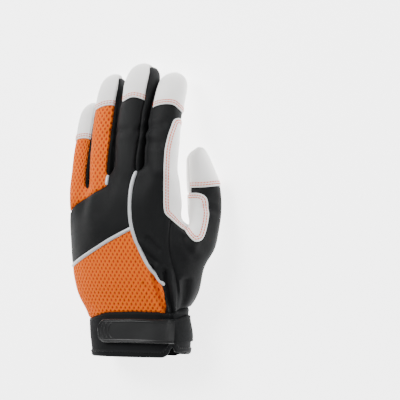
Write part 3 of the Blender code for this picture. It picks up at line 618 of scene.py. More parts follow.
def relax_thumb_root(rounds=3, share=0.4):
    """Smooths the net where the thumb grows out of the hand."""
    free = set()
    for ring in THUMB_NET[:2]:
        free.update(ring)
    for row in range(THUMB_ROW, WEB_ROW + 2):
        free.update(NET[row, column] for column in (BACK_END, THUMB_SIDE, PALM_START))
    free -= {NET[THUMB_ROW, THUMB_SIDE], HEEL_COLUMN[THUMB_ROW]}
    joined = {p: set() for p in free}
    for corners in faces:
        for k, corner in enumerate(corners):
            if corner in free:
                joined[corner].update((corners[k - 1], corners[(k + 1) % len(corners)]))
    for _ in range(rounds):
        moved = {
            p: points[p] + share * (np.mean([points[q] for q in joined[p]], axis=0) - points[p])
            for p in free
            if joined[p]
        }
        for p, place in moved.items():
            points[p] = place


relax_thumb_root()
shape_web_patch()
P = np.array(points)
P[:, 2] = np.maximum(P[:, 2], 0)
for corner in [*NET[: CUFF_ROW + 3].flat, *HEEL_COLUMN]:
    P[corner, 2] = max(P[corner, 2], HEEL_TAB_STACK)


def face_normal(corners):
    """The normal of a face of three or four corners, as long as twice its area."""
    return np.cross(P[corners[2]] - P[corners[0]], P[corners[-1]] - P[corners[1]])


def vertex_normals():
    found = np.zeros_like(P)
    for corners in faces:
        for corner in corners:
            found[corner] += face_normal(corners)
    return found / np.maximum(np.linalg.norm(found, axis=1, keepdims=True), 1e-12)


N = vertex_normals()

# The net is drawn from the middle of the cuff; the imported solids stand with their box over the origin
RAISED = ("web_patch", "index_cap", "middle_cap", "ring_cap", "little_cap", "thumb_cap")


def shift_to_frame():
    raised = P.copy()
    for corners, panel in zip(faces, face_names):
        if panel in RAISED:
            for corner in corners:
                raised[corner] = P[corner] + PATCH_LIFT * N[corner]
    middle = (raised.min(axis=0) + raised.max(axis=0)) / 2
    low, high = (np.array(corner) for corner in CAD_BOX)
    return (low + high)[:2] / 2 - middle[:2]


SHIFT = np.array([*shift_to_frame(), 0])

# How far to the thumb's side of the cuff's middle the mesh's straight thread runs
STRAIGHT_THREAD = -0.005


def cloth_places():
    """Where each net point lies on the flat cloth of the back, whose grain runs along the hand: metres
    across from a straight thread and metres up from the cuff's edge."""
    flat = {}
    columns = (PALM_END, OUTER_SIDE, *range(PALM_START))
    for row in range(CUFF_ROW, ROWS + 1):
        line = P[[NET[row, column] for column in columns]]
        steps = np.linalg.norm(np.diff(line, axis=0)[:, [0, 2]], axis=1)
        across = np.concatenate([[0], np.cumsum(steps)])
        start = np.interp(STRAIGHT_THREAD, line[:, 0], across)
        for i, column in enumerate(columns):
            flat[NET[row, column]] = (across[i] - start, line[i][1])
    for rings in FINGER_NETS:
        for before, ring in zip(rings, rings[1:]):
            for k in range(BACK_0, BACK_4 + 1):
                along = flat[before[k]][1] + np.linalg.norm(P[ring[k]] - P[before[k]])
                flat[ring[k]] = (flat[before[k]][0], along)
            for k, beside in ((SIDE_L, BACK_0), (PALM_0, SIDE_L)):
                step = np.linalg.norm(P[ring[k]] - P[ring[beside]])
                flat[ring[k]] = (flat[ring[beside]][0] - step, flat[ring[beside]][1])
    return flat


CLOTH = cloth_places()
PANEL_NAMES = sorted(set(face_names))
# The photograph looks from 27 degrees to the thumb's side of straight above, at 0.825 mm to the pixel
VIEW_TURN = math.radians(27)
PIXEL = 0.000825
PHOTO_RIGHT = Vector((math.cos(VIEW_TURN), 0, -math.sin(VIEW_TURN)))
PHOTO_BACK = Vector((math.sin(VIEW_TURN), 0, math.cos(VIEW_TURN)))


def new_piece(name, places, edges, corners, sharp_from=None):
    """An object with this mesh, shaded smooth except across edges sharper than an angle in degrees."""
    mesh = bpy.data.meshes.new(name)
    mesh.from_pydata(np.array(places).tolist(), edges, corners)
    if sharp_from:
        mesh.shade_smooth()
        mesh.set_sharp_from_angle(angle=math.radians(sharp_from))
    piece = bpy.data.objects.new(name, mesh)
    bpy.context.collection.objects.link(piece)
    return piece


def subdivide(places, level):
    """The net as a smooth mesh: its points, quads, panel numbers and places on the flat cloth."""
    form = new_piece("form", places, [], faces)
    mesh = form.data
    numbers = mesh.attributes.new("panel", "INT", "FACE")
    numbers.data.foreach_set("value", [PANEL_NAMES.index(name) for name in face_names])
    flat = [CLOTH.get(corner, (0, 0)) for corners in faces for corner in corners]
    mesh.uv_layers.new(name="cloth").data.foreach_set("uv", np.array(flat).ravel())
    modifier = form.modifiers.new("smooth", "SUBSURF")
    modifier.levels = level
    modifier.render_levels = level
    modifier.uv_smooth = "NONE"
    found = bpy.data.meshes.new_from_object(form.evaluated_get(bpy.context.evaluated_depsgraph_get()))
    bpy.data.objects.remove(form)
    smooth = np.zeros(len(found.vertices) * 3)
    found.vertices.foreach_get("co", smooth)
    quads = np.zeros(len(found.loops), int)
    found.loops.foreach_get("vertex_index", quads)
    panels = np.zeros(len(found.polygons), int)
    found.attributes["panel"].data.foreach_get("value", panels)
    cloth = np.zeros(len(found.loops) * 2)
    found.uv_layers["cloth"].data.foreach_get("uv", cloth)
    bpy.data.meshes.remove(found)
    return smooth.reshape(-1, 3), quads.reshape(-1, 4), panels, cloth.reshape(-1, 4, 2)


# How many times the net is divided: for most panels, and for those with fine edges or holes
COARSE = 3
FINE = 4


def through_the_net(rounds=3, share=0.85, room=0.4):
    """Control points whose smooth surface passes close to the net's own points. None goes further than
    a share of the way to its nearest neighbour, so that lines of the net that lie close don't cross."""
    control = P.copy()
    for _ in range(rounds):
        smooth = subdivide(control, 1)[0][: len(P)]
        control = control + share * (P - smooth)
    nearest = np.full(len(P), np.inf)
    for corners in faces:
        for start, end in zip(corners, corners[1:] + corners[:1]):
            nearest[[start, end]] = np.minimum(nearest[[start, end]], np.linalg.norm(P[end] - P[start]))
    moved = control - P
    far = np.maximum(np.linalg.norm(moved, axis=1), 1e-12)
    return P + moved * np.minimum(1, room * nearest / far)[:, None]


# Cut edges run in rounder lines than the solids' net does. These points of the net slide over the form. For
# each finger by number, the hand and the thumb: ring and point, or row and column, then pixels of the photo
# to the right and down
SLIDES = {
    0: (
        *((ring, 5, -2.5 if ring < 3 else -3.5, 0) for ring in range(1, 13)),
        *((ring, 4, -1.5, 0) for ring in range(1, 12)),
    ),
    1: (
        *((ring, 5, across, 0) for ring, across in enumerate((-4, -3.5, -3, -2, -1.5, -1.5, -1), 1)),
        *((8, 5, -1, -4), (9, 5, -1.5, -2), (10, 5, -2.5, 0), (11, 5, -2.5, 0), (12, 5, -2.5, 0)),
        *((8, 4, -0.5, -3), (8, 3, 0, -2)),
    ),
    2: (
        *((8, 1, 0, 4), (8, 2, 1, 4.5), (8, 3, 0, 1), (8, 4, 0, 1), (8, 5, 0.5, 2.5)),
        *((1, 5, -3, 0), (2, 5, -2, 0), (3, 5, -1, 0)),
    ),
    3: (
        *((8, 3, 2, -1.5), (8, 4, 4, -2.5), (7, 3, 2, 6.5), (8, 5, 0, -1), (8, 6, 0, 1.5)),
        *((5, 1, 0.5, 0), (6, 1, 1, 0), (7, 1, 1.5, 0), (8, 1, 1.5, 0), (9, 1, 1.5, 0), (10, 1, 1, 0)),
        *((7, 4, 7, 6), (7, 5, 3.5, 3), (6, 4, 4.5, 7), (6, 5, 3, 2), (5, 5, 1.5, 1.5), (4, 5, 1, 1)),
        *((5, 4, 3.2, 6), (4, 4, 2, 5), (3, 4, 1.5, 3), (2, 4, 1.5, 2), (1, 4, 1.5, 1)),
    ),
    "hand": (
        *((16, 15, 1.5, 0), (15, 15, 1.5, 0), (14, 15, 2, 0), (13, 15, 3, 0), (12, 15, 3.5, 0)),
        *((11, 15, 5, -3), (11, 16, -2.5, 0), (11, 14, 3, -4), (10, 15, 4, -2), (10, 16, -4, 0)),
        *((9, 16, -5, 0), (8, 16, -6, 0), (7, 16, -9, 0), (7, 15, -3, 0)),
        *((6, 16, -0.8, 0), (6, 15, -2.6, 0), (6, 14, -2.4, 0)),
        *((row, 15, -0.8, 0) for row in range(1, 6)),
        *((row, column, -1.2, 0) for column in (14, 13) for row in range(1, 6)),
        *((7, 12, -2, 0), (6, 12, -3.5, 0), (5, 12, -4, 0), (4, 12, -2.5, 0)),
        *((16, 12, -5, 0), (15, 12, -6, 0), (14, 12, -4.5, 0), (13, 12, -1.5, 0)),
        *((16, 8, -4.5, 0), (15, 8, -3.5, 0)),
    ),
    "thumb": (
        *((1, 1, -4.5, 0.5), (2, 1, -5, 3.5), (2, 2, -2.5, 3.5), (2, 3, -1.5, 1.5), (2, 4, -1.5, 0)),
        *((2, 5, -2, -2), (3, 5, -0.5, -6), (4, 5, -0.5, -2), (5, 5, -1.5, -1)),
        *((6, 5, -3, -5), (6, 4, -4, -5.5), (6, 3, -2.5, -5), (6, 2, -1, -4), (6, 1, 0, -3)),
        *((7, k, 0, down) for k, down in enumerate((2.5, 2.5, 2.5, 2.5, 2, 0.5))),
    ),
}
# Points of the palm's border with the thumb's fabric slide as seen from below: millimetres across and along
PALM_SLIDES = (
    ("hand", 6, 18, 0.3, 1.5),
    ("hand", 7, 18, -5, 1.3),
    ("hand", 8, 18, 1.3, 1.4),
    ("thumb", 1, 9, -4.9, 2.3),
    ("thumb", 2, 9, -4.1, 2.6),
    ("thumb", 2, 10, -2.5, 2),
    ("thumb", 3, 9, -2.6, 1.6),
    ("thumb", 4, 9, -1.5, 1),
)
# Stuffing in the middle finger pushes its strip out to the right near the tip: ring and pixels
STUFFED_RINGS = ((7, 0.8), (8, 1.5), (9, 2.5), (10, 3.2), (11, 3.2), (12, 2.5))
# The three points on each fingertip go forward to round it
TIP_ROUNDING = np.array([0.0004, 0.0012, 0.0004])
# A point whose line of sight is blocked by another finger goes to the nearest place on the form instead
SLIDE_REACH = 0.011
SIGHT_START = 0.2


def net_corner(part, ring, k):
    """A point of the hand's, the thumb's or a finger's net."""
    if part == "hand":
        return NET[ring, k]
    return (THUMB_NET if part == "thumb" else FINGER_NETS[part])[ring][k]


def slide_net():
    for ring, across in STUFFED_RINGS:
        for k in (SIDE_R, SIDE_R + 1):
            P[FINGER_NETS[2][ring][k]] += np.array(PHOTO_RIGHT) * PIXEL * across
    for rings in FINGER_NETS:
        tip = max(rings[-1])
        P[tip + 1 : tip + 4, 1] += TIP_ROUNDING
    places, quads, _, _ = subdivide(through_the_net(), COARSE)
    form = BVHTree.FromPolygons(places.tolist(), quads.tolist())
    goals = []
    for part, slides in SLIDES.items():
        for ring, k, across, down in slides:
            goals.append((part, ring, k, PIXEL * (PHOTO_RIGHT * across - Vector((0, down, 0))), PHOTO_BACK))
    for part, ring, k, across, along in PALM_SLIDES:
        goals.append((part, ring, k, Vector((across, along, 0)) / 1000, Vector((0, 0, -1))))
    for part, ring, k, shift, viewer in goals:
        corner = net_corner(part, ring, k)
        goal = Vector(P[corner]) + shift
        seen = form.ray_cast(goal + viewer * SIGHT_START, -viewer)[0]
        if seen is None or (seen - Vector(P[corner])).length > SLIDE_REACH:
            seen = form.find_nearest(goal)[0]
        P[corner] = seen


slide_net()
N = vertex_normals()
CLOTH = cloth_places()
CONTROL = through_the_net()

# Creases and gathers pressed into the whole form: start and end across and along in metres on the
# photo's scale, half width, depth, and 1 on the back or -1 on the palm
FOLDS = (
    (0.0330, 0.038, 0.0270, 0.074, 0.0018, 0.0022, 1),
    (0.0375, 0.038, 0.0370, 0.070, 0.0018, 0.0024, 1),
    (0.0450, 0.038, 0.0500, 0.064, 0.0018, 0.0018, 1),
    (0.0500, 0.038, 0.0590, 0.058, 0.0018, 0.0014, 1),
    (0.0330, 0.037, 0.0180, 0.060, 0.0022, 0.0008, 1),
    (0.0150, 0.092, 0.0300, 0.078, 0.0020, 0.0012, 1),
    (0.0240, 0.098, 0.0330, 0.088, 0.0018, 0.0008, 1),
    (0.0500, 0.098, 0.0580, 0.082, 0.0022, 0.0010, 1),
    (0.0600, 0.124, 0.0700, 0.119, 0.0022, 0.0008, 1),
    (0.0120, 0.186, 0.0330, 0.190, 0.0030, 0.0009, 1),
    (0.0140, 0.176, 0.0340, 0.174, 0.0030, 0.0006, 1),
    (-0.0180, 0.183, 0.0030, 0.186, 0.0030, 0.0005, 1),
    (-0.0480, 0.1370, -0.0110, 0.1335, 0.0026, 0.0022, -1),
    (-0.0110, 0.1335, 0.0300, 0.1249, 0.0026, 0.0028, -1),
    (-0.0480, 0.1215, -0.0010, 0.1166, 0.0026, 0.0024, -1),
    (-0.0010, 0.1166, 0.0290, 0.1198, 0.0026, 0.0030, -1),
    (0.0200, 0.1430, 0.0400, 0.1430, 0.0020, 0.0012, -1),
    (0.0330, 0.1080, 0.0290, 0.0900, 0.0022, 0.0013, -1),
    (-0.0600, 0.100, -0.0300, 0.096, 0.0024, 0.0010, -1),
    (-0.0420, 0.178, -0.0180, 0.178, 0.0022, 0.0013, -1),
    (-0.0160, 0.184, 0.0100, 0.184, 0.0022, 0.0013, -1),
    (0.0120, 0.178, 0.0380, 0.178, 0.0022, 0.0013, -1),
    (-0.0620, 0.166, -0.0440, 0.166, 0.0020, 0.0011, -1),
)
# How high a crease's shoulders stand for its depth, and at how many half widths; how far it runs on past
# its ends for its length; and how soon it is at its full depth where the form turns to its side
FOLD_SHOULDER = 0.45
SHOULDER_AT = 2
FOLD_RUN_ON = 0.25
FACE_FADE = 2
# The strap draws the wrist in on the thumb's side
WAIST_DEPTH = 0.0035
WAIST_ALONG = 0.034
WAIST_REACH = 0.012
WAIST_FADE = 1.5
# The form's general unevenness: height and size of its humps
UNEVEN = 0.0004
UNEVEN_SIZE = 0.020


def fold_heights(places, normals):
    """How far the form rises at each point from its creases and its general unevenness."""
    heights = np.zeros(len(places))
    for x0, y0, x1, y1, wide, deep, face in FOLDS:
        start, way = np.array([x0, y0]), np.array([x1 - x0, y1 - y0])
        rest = places[:, :2] - start
        along = rest @ way / (way @ way)
        away = np.linalg.norm(rest - np.clip(along, 0, 1)[:, None] * way, axis=1) / wide
        run = along / FOLD_RUN_ON
        fade = np.clip(normals[:, 2] * face * FACE_FADE, 0, 1)
        fade = fade * np.clip(run + 1, 0, 1) * np.clip(1 / FOLD_RUN_ON + 1 - run, 0, 1)
        heights += deep * fade * (FOLD_SHOULDER * np.exp(-((away - SHOULDER_AT) ** 2)) - np.exp(-(away**2)))
    beside = np.clip(WAIST_FADE * normals[:, 0], 0, 1)
    heights -= WAIST_DEPTH * beside * np.exp(-(((places[:, 1] - WAIST_ALONG) / WAIST_REACH) ** 2))
    for i, place in enumerate(places):
        heights[i] += UNEVEN * noise.noise(Vector(place) / UNEVEN_SIZE)
    return heights


def normals_of(places, quads):
    """Each point's normal, from the faces round it."""
    across = places[quads[:, 2]] - places[quads[:, 0]]
    down = places[quads[:, 3]] - places[quads[:, 1]]
    flat = np.cross(across, down)
    found = np.zeros_like(places)
    for k in range(4):
        np.add.at(found, quads[:, k], flat)
    return found / np.maximum(np.linalg.norm(found, axis=1, keepdims=True), 1e-12)


# The lines between panels are drawn smooth over the first length, and the skin follows over the second
EDGE_DRAW = 0.0035
EDGE_FOLLOW = 0.0040


def sum_of_neighbours(values, edges):
    """For each point, the sum of the values at the other ends of its edges."""
    total = np.zeros_like(values)
    np.add.at(total, edges[:, 0], values[edges[:, 1]])
    np.add.at(total, edges[:, 1], values[edges[:, 0]])
    return total


def drawn_edges(places, quads, panels):
    """The form with the lines between its panels drawn smooth, and the skin beside them gone along."""
    starts, ends = quads.ravel(), np.roll(quads, -1, axis=1).ravel()
    sides = {}
    for start, end, panel in zip(starts.tolist(), ends.tolist(), np.repeat(panels, 4).tolist()):
        sides.setdefault((min(start, end), max(start, end)), []).append(panel)
    edges = np.array([edge for edge, found in sides.items() if len(set(found)) > 1])
    beside = np.bincount(edges.ravel(), minlength=len(places))
    # Points with two such edges lie along a line; ends and junctions stay
    line = np.flatnonzero(beside == 2)
    every = np.array(list(sides))
    spacing = np.median(np.linalg.norm(places[edges[:, 0]] - places[edges[:, 1]], axis=1))
    drawn = places.copy()
    for _ in range(int((EDGE_DRAW / spacing) ** 2)):
        drawn[line] = (drawn[line] + sum_of_neighbours(drawn, edges)[line] / 2) / 2
    moves = drawn - places
    held = moves[beside > 0]
    count = np.bincount(every.ravel(), minlength=len(places))[:, None]
    for _ in range(int((EDGE_FOLLOW / spacing) ** 2)):
        moves = sum_of_neighbours(moves, every) / count
        moves[beside > 0] = held
    return places + moves


def fine_form(level):
    places, quads, panels, cloth = subdivide(CONTROL, level)
    places = drawn_edges(places, quads, panels)
    heights = fold_heights(places, normals_of(places, quads))
    places = places + normals_of(places, quads) * heights[:, None]
    places[:, 2] = np.maximum(places[:, 2], 0)
    starts, ends = quads.ravel(), np.roll(quads, -1, axis=1).ravel()
    keys = starts * len(places) + ends
    order = np.argsort(keys)
    return {
        "places": places,
        "normals": normals_of(places, quads),
        "quads": quads,
        "panels": panels,
        "cloth": cloth,
        "keys": keys[order],
        "owners": np.repeat(panels, 4)[order],
    }


FORMS = {level: fine_form(level) for level in (COARSE, FINE)}
SKIN = BVHTree.FromPolygons(FORMS[COARSE]["places"].tolist(), FORMS[COARSE]["quads"].tolist())

# Leather panels
# The palm, the fingertips, the thumb's cap and the patch round the thumb's crotch are pale grained goat
# leather about a millimetre thick, cut to shape. Caps and patch are lapped over the fabric and sewn down
# with two rows of orange thread; elsewhere edges are turned in and sewn edge to edge.
SEAM_DEPTH = 0.0011
SEAM_ROLL = 0.0022
EDGE_ROUND = 0.0003
EDGE_REACH = 0.0008
LEATHER_NODES = ("palm_leather", *RAISED)
LAPPED_OVER = {
    "web_patch": ("index_panel", "thumb_panel"),
    "thumb_cap": ("thumb_panel",),
    "index_cap": ("index_panel",),
    "middle_cap": ("band_panel",),
    "ring_cap": ("finger_mesh_panel",),
    "little_cap": ("finger_mesh_panel",),
    "palm_leather": (),
}


def patch_of(name, level):
    """A panel's part of the fine form, and each edge of its rim with the panel beyond it."""
    form = FORMS[level]
    chosen = form["panels"] == PANEL_NAMES.index(name)
    used, quads = np.unique(form["quads"][chosen], return_inverse=True)
    quads = quads.reshape(-1, 4)
    starts, ends = quads.ravel(), np.roll(quads, -1, axis=1).ravel()
    size = len(form["places"])
    inside = np.isin(ends * size + starts, starts * size + ends)
    rim = np.stack([starts[~inside], ends[~inside]], axis=1)
    keys = used[rim[:, 1]] * size + used[rim[:, 0]]
    spots = np.minimum(np.searchsorted(form["keys"], keys), len(form["keys"]) - 1)
    beyond = np.where(form["keys"][spots] == keys, form["owners"][spots], -1)
    cloth = np.zeros((len(used), 2))
    cloth[quads.ravel()] = form["cloth"][chosen].reshape(-1, 2)
    return {
        "places": form["places"][used],
        "normals": form["normals"][used],
        "quads": quads,
        "rim": rim,
        "beyond": [PANEL_NAMES[i] if i >= 0 else "open" for i in beyond],
        "cloth": cloth,
    }


def away_from(patch, neighbours):
    """How far each point of a patch lies from its rim with these neighbours."""
    chosen = [edge for edge, name in zip(patch["rim"], patch["beyond"]) if name in neighbours]
    samples = []
    for a, b in chosen:
        start, end = patch["places"][a], patch["places"][b]
        samples += [start + (end - start) * share for share in (0, 0.25, 0.5, 0.75)]
        samples.append(end)
    if not samples:
        return np.full(len(patch["places"]), 1.0)
    tree = KDTree(len(samples))
    for i, sample in enumerate(samples):
        tree.insert(sample, i)
    tree.balance()
    return np.array([tree.find(place)[2] for place in patch["places"]])


def near_edge(distance, reach):
    """1 on the edge, falling smoothly to 0 at this reach."""
    return np.clip(1 - distance / reach, 0, 1) ** 2


def sewn_rise(name, patch):
    """How far a panel's outer face stands off the form: rolled down at turned seams, up where it laps."""
    lapped = LAPPED_OVER.get(name, ())
    under = [other for other, below in LAPPED_OVER.items() if name in below]
    turned = [other for other in PANEL_NAMES if other not in (name, *lapped, *under)]
    rise = np.full(len(patch["places"]), PATCH_LIFT if name in RAISED else 0.0)
    seam = near_edge(away_from(patch, turned), SEAM_ROLL)
    rise -= (SEAM_DEPTH + rise) * seam
    if lapped:
        rise -= EDGE_ROUND * near_edge(away_from(patch, lapped), EDGE_REACH) * (1 - seam)
    return rise


def sewn_mesh(name, patch, rise, wall):
    """A panel's closed mesh: outer face, inner face and the rim between them."""
    outer = patch["places"] + patch["normals"] * rise[:, None]
    outer[:, 2] = np.maximum(outer[:, 2], 0)
    inner = patch["places"] - patch["normals"] * wall
    count = len(outer)
    quads, rim = patch["quads"], patch["rim"]
    sides = np.stack([rim[:, 1], rim[:, 0], rim[:, 0] + count, rim[:, 1] + count], axis=1)
    solid = np.vstack([quads, quads[:, ::-1] + count, sides])
    piece = new_piece(name + "_sewn", np.vstack([outer, inner]), [], solid.tolist(), sharp_from=50)
    mesh = piece.data
    outside = np.zeros(2 * count, np.float32)
    outside[:count] = 1
    mesh.attributes.new("outside", "FLOAT", "POINT").data.foreach_set("value", outside)
    both = np.vstack([patch["cloth"], patch["cloth"]])[solid.ravel()]
    mesh.uv_layers.new(name="cloth").data.foreach_set("uv", both.ravel())
    return piece


def paint_shade_near_seams(piece, patch, depth=0.35):
    """Stores how far each point is into a seam, from 0 to 1, for the material to darken as painted shade."""
    seam = near_edge(away_from(patch, (*PANEL_NAMES, "open")), 2 * SEAM_ROLL)
    both = np.concatenate([seam, np.zeros(len(seam))]).astype(np.float32) * depth
    piece.data.attributes.new("seam", "FLOAT", "POINT").data.foreach_set("value", both)


def linear(hex_colour):
    """An sRGB hex colour as linear values."""
    parts = [int(hex_colour[i : i + 2], 16) / 255 for i in (1, 3, 5)]
    return (*(c / 12.92 if c <= 0.04045 else ((c + 0.055) / 1.055) ** 2.4 for c in parts), 1)


def add_node(tree, kind, settings=(), inputs=()):
    """Adds a node, with its settings, and its inputs as values or links."""
    node = tree.nodes.new(kind)
    for name, value in dict(settings).items():
        setattr(node, name, value)
    for name, value in dict(inputs).items():
        if isinstance(value, bpy.types.NodeSocket):
            tree.links.new(value, node.inputs[name])
        else:
            node.inputs[name].default_value = value
    return node


def new_material(name, tones, patch, detail, reliefs=(), plain=()):
    """A material that wanders between two close tones in patches of this size, with reliefs one over the
    other, each a pattern's node, settings and inputs, then strength and distance, and with plain values
    on its shader. Gives the material, its tree and shader, the patches and the tone."""
    material = bpy.data.materials.new(name)
    material.use_nodes = True
    tree = material.node_tree
    shader = tree.nodes["Principled BSDF"]
    for socket, value in dict(plain).items():
        shader.inputs[socket].default_value = value
    where = add_node(tree, "ShaderNodeTexCoord").outputs["Object"]
    clouds = {"Vector": where, "Scale": 1 / patch, "Detail": detail}
    patches = add_node(tree, "ShaderNodeTexNoise", (), clouds)
    light, dark = (linear(tone) for tone in tones)
    tone = add_node(
        tree, "ShaderNodeMix", {"data_type": "RGBA"}, {"Factor": patches.outputs["Fac"], 6: light, 7: dark}
    )
    tree.links.new(tone.outputs[2], shader.inputs["Base Color"])
    below = {}
    for kind, settings, inputs, strength, distance in reliefs:
        pattern = add_node(tree, kind, settings, {"Vector": where, **inputs})
        height = pattern.outputs.get("Fac") or pattern.outputs["Distance"]
        force = {"Strength": strength, "Distance": distance}
        bump = add_node(tree, "ShaderNodeBump", (), {"Height": height, **force, **below})
        below = {"Normal": bump.outputs["Normal"]}
    for normal in below.values():
        tree.links.new(normal, shader.inputs["Normal"])
    return material, tree, shader, patches.outputs["Fac"], tone.outputs[2]


def goat_leather():
    """Goat leather, drum dyed off-white: fine pebbled grain about 0.7 mm across, soft broken gloss,
    slightly greyer in patches, with painted shade darkening it into the seams and at panel edges."""
    reliefs = (
        ("ShaderNodeTexVoronoi", {"feature": "DISTANCE_TO_EDGE"}, {"Scale": 1 / 0.0007}, 0.35, 0.0001),
        ("ShaderNodeTexNoise", {}, {"Scale": 1 / 0.0012, "Detail": 4.0}, 0.3, 0.0003),
        (
            "ShaderNodeTexNoise",
            {"noise_type": "RIDGED_MULTIFRACTAL"},
            {"Scale": 1 / 0.022, "Detail": 3.0, "Distortion": 0.8},
            0.5,
            0.0006,
        ),
    )
    material, tree, shader, patches, tone = new_material(
        "goat_leather", ("#F4F3F1", "#E4E3E1"), 0.018, 3.0, reliefs
    )
    # Painted shade: near seams and panel edges the tone is mixed towards the darker grey #A5A4A2
    seam = add_node(tree, "ShaderNodeAttribute", {"attribute_name": "seam"}).outputs["Fac"]
    shaded = add_node(
        tree, "ShaderNodeMix", {"data_type": "RGBA"}, {"Factor": seam, 6: tone, 7: linear("#A5A4A2")}
    )
    tree.links.new(shaded.outputs[2], shader.inputs["Base Color"])
    gloss = add_node(tree, "ShaderNodeMapRange", (), {"Value": patches, "To Min": 0.48, "To Max": 0.62})
    tree.links.new(gloss.outputs["Result"], shader.inputs["Roughness"])
    return material


def finish(piece, material, slot, *nodes):
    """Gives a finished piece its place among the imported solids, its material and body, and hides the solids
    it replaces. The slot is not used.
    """
    piece.data.transform(Matrix.Translation(SHIFT))
    if not piece.data.materials:
        piece.data.materials.append(material)
    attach(piece, "root")
    if nodes:
        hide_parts(*nodes)


# The palm's two quilted pads: outline points across and along in metres
PADS = (
    (
        (-0.0025, 0.0915),
        (0.0166, 0.1148),
        (0.0270, 0.1131),
        (0.0280, 0.1000),
        (0.0238, 0.0884),
        (0.0046, 0.0868),
    ),
    (
        (-0.0268, 0.1037),
        (-0.0130, 0.0971),
        (-0.0084, 0.0886),
        (-0.0079, 0.0677),
        (-0.0178, 0.0595),
        (-0.0309, 0.0588),
        (-0.0400, 0.0670),
        (-0.0400, 0.0930),
    ),
)
PAD_RISE = 0.0011
PAD_SHOULDER = 0.0022
PALM_SIDE = -0.2
ROUND_SAMPLES = 8


def round_outline(corners):
    """A closed smooth line through an outline's points."""
    corners = np.array(corners)
    line = []
    for i in range(len(corners)):
        a, b, c, d = (corners[(i + k) % len(corners)] for k in (-1, 0, 1, 2))
        for step in range(ROUND_SAMPLES):
            t = step / ROUND_SAMPLES
            place = 2 * b + (c - a) * t + (2 * a - 5 * b + 4 * c - d) * t**2
            line.append(0.5 * (place + (3 * b - a - 3 * c + d) * t**3))
    return np.array(line)


def inside_outline(places, line):
    """How far each point lies inside a closed line, negative outside it."""
    ends = np.roll(line, -1, axis=0)
    nearest = np.full(len(places), 1.0)
    crossings = np.zeros(len(places), int)
    for a, b in zip(line, ends):
        way = b - a
        along = np.clip((places[:, :2] - a) @ way / (way @ way), 0, 1)
        nearest = np.minimum(nearest, np.linalg.norm(places[:, :2] - a - along[:, None] * way, axis=1))
        spans = (a[1] > places[:, 1]) != (b[1] > places[:, 1])
        if way[1]:
            crossings += spans & (places[:, 0] < a[0] + (places[:, 1] - a[1]) / way[1] * way[0])
    return np.where(crossings % 2, nearest, -nearest)


def iso_lines(patch, rise, field, level):
    """Lines on a panel's outer face where the field has this level, each a row of points."""
    outer = patch["places"] + patch["normals"] * rise[:, None]
    joined = {}
    spots = {}
    triangles = np.vstack([patch["quads"][:, [0, 1, 2]], patch["quads"][:, [0, 2, 3]]])
    over = field[triangles] > level
    for corners in triangles[over.any(axis=1) & ~over.all(axis=1)]:
        ends = []
        for a, b in ((corners[0], corners[1]), (corners[1], corners[2]), (corners[2], corners[0])):
            if (field[a] > level) != (field[b] > level):
                key = (min(a, b), max(a, b))
                share = (level - field[a]) / (field[b] - field[a])
                spots[key] = outer[a] + share * (outer[b] - outer[a])
                ends.append(key)
        joined.setdefault(ends[0], []).append(ends[1])
        joined.setdefault(ends[1], []).append(ends[0])
    lines = []
    left = dict(joined)
    while left:
        start = next((key for key in left if len(joined[key]) == 1), next(iter(left)))
        line = [start]
        left.pop(start)
        while True:
            following = [key for key in joined[line[-1]] if key in left]
            if not following:
                break
            line.append(following[0])
            left.pop(following[0])
        closed = len(line) > 3 and start in joined[line[-1]]
        lines.append(smooth_line(np.array([spots[key] for key in line]), closed))
    return lines


def smooth_line(line, closed, rounds=6):
    """A line with its points drawn towards their neighbours, its ends kept."""
    if closed:
        line = np.vstack([line, line[:1]])
    for _ in range(rounds):
        moved = line.copy()
        moved[1:-1] = (line[:-2] + 2 * line[1:-1] + line[2:]) / 4
        line = moved
    return line


# Rows of lap stitching: how far each runs inside a lapped edge
LAP_ROWS = (0.0019, 0.0038)
PAD_ROWS = (0.0, 0.0019)
SHORTEST_ROW = 0.006
stitch_lines = {}


def keep_rows(name, lines):
    """Keeps the stitch rows that are long enough to sew."""
    for line in lines:
        if np.linalg.norm(np.diff(line, axis=0), axis=1).sum() > SHORTEST_ROW:
            stitch_lines.setdefault(name, []).append(line)


LEATHER_WALL = 0.0013
leather = goat_leather()
for name in LEATHER_NODES:
    patch = patch_of(name, COARSE if name == "palm_leather" else FINE)
    rise = sewn_rise(name, patch)
    if name == "palm_leather":
        palm = patch["normals"][:, 2] < PALM_SIDE
        for pad in PADS:
            deep = inside_outline(patch["places"], round_outline(pad))
            raised = np.clip(deep / PAD_SHOULDER, 0, 1)
            rise += np.where(palm, PAD_RISE * (raised * raised * (3 - 2 * raised)), 0)
            field = np.where(palm, deep, -1)
            for inset in PAD_ROWS:
                keep_rows("palm_stitches", iso_lines(patch, rise, field, inset))
    else:
        hem = away_from(patch, LAPPED_OVER[name])
        for inset in LAP_ROWS:
            keep_rows(name + "_stitches", iso_lines(patch, rise, hem, inset))
    piece = sewn_mesh(name, patch, rise, LEATHER_WALL)
    # Painted shade: how far into a seam each point lies, kept for the leather to darken there
    paint_shade_near_seams(piece, patch)
    finish(piece, leather, "goat_leather", name)

# Stretch fabric
# The band over the knuckles, the back of the index finger, the thumb's outside and the strips between the
# fingers are black polyester and elastane knit about a millimetre and a half thick, sewn edge to edge.
FABRIC_WALL = 0.0013
# The strip between middle and index fingers bulges until its sides touch
FULLER_STRIP = 0.0009
FABRIC_NODES = (
    "band_panel",
    "index_panel",
    "thumb_panel",
    "little_ring_fourchette",
    "ring_middle_fourchette",
    "middle_index_fourchette",
)


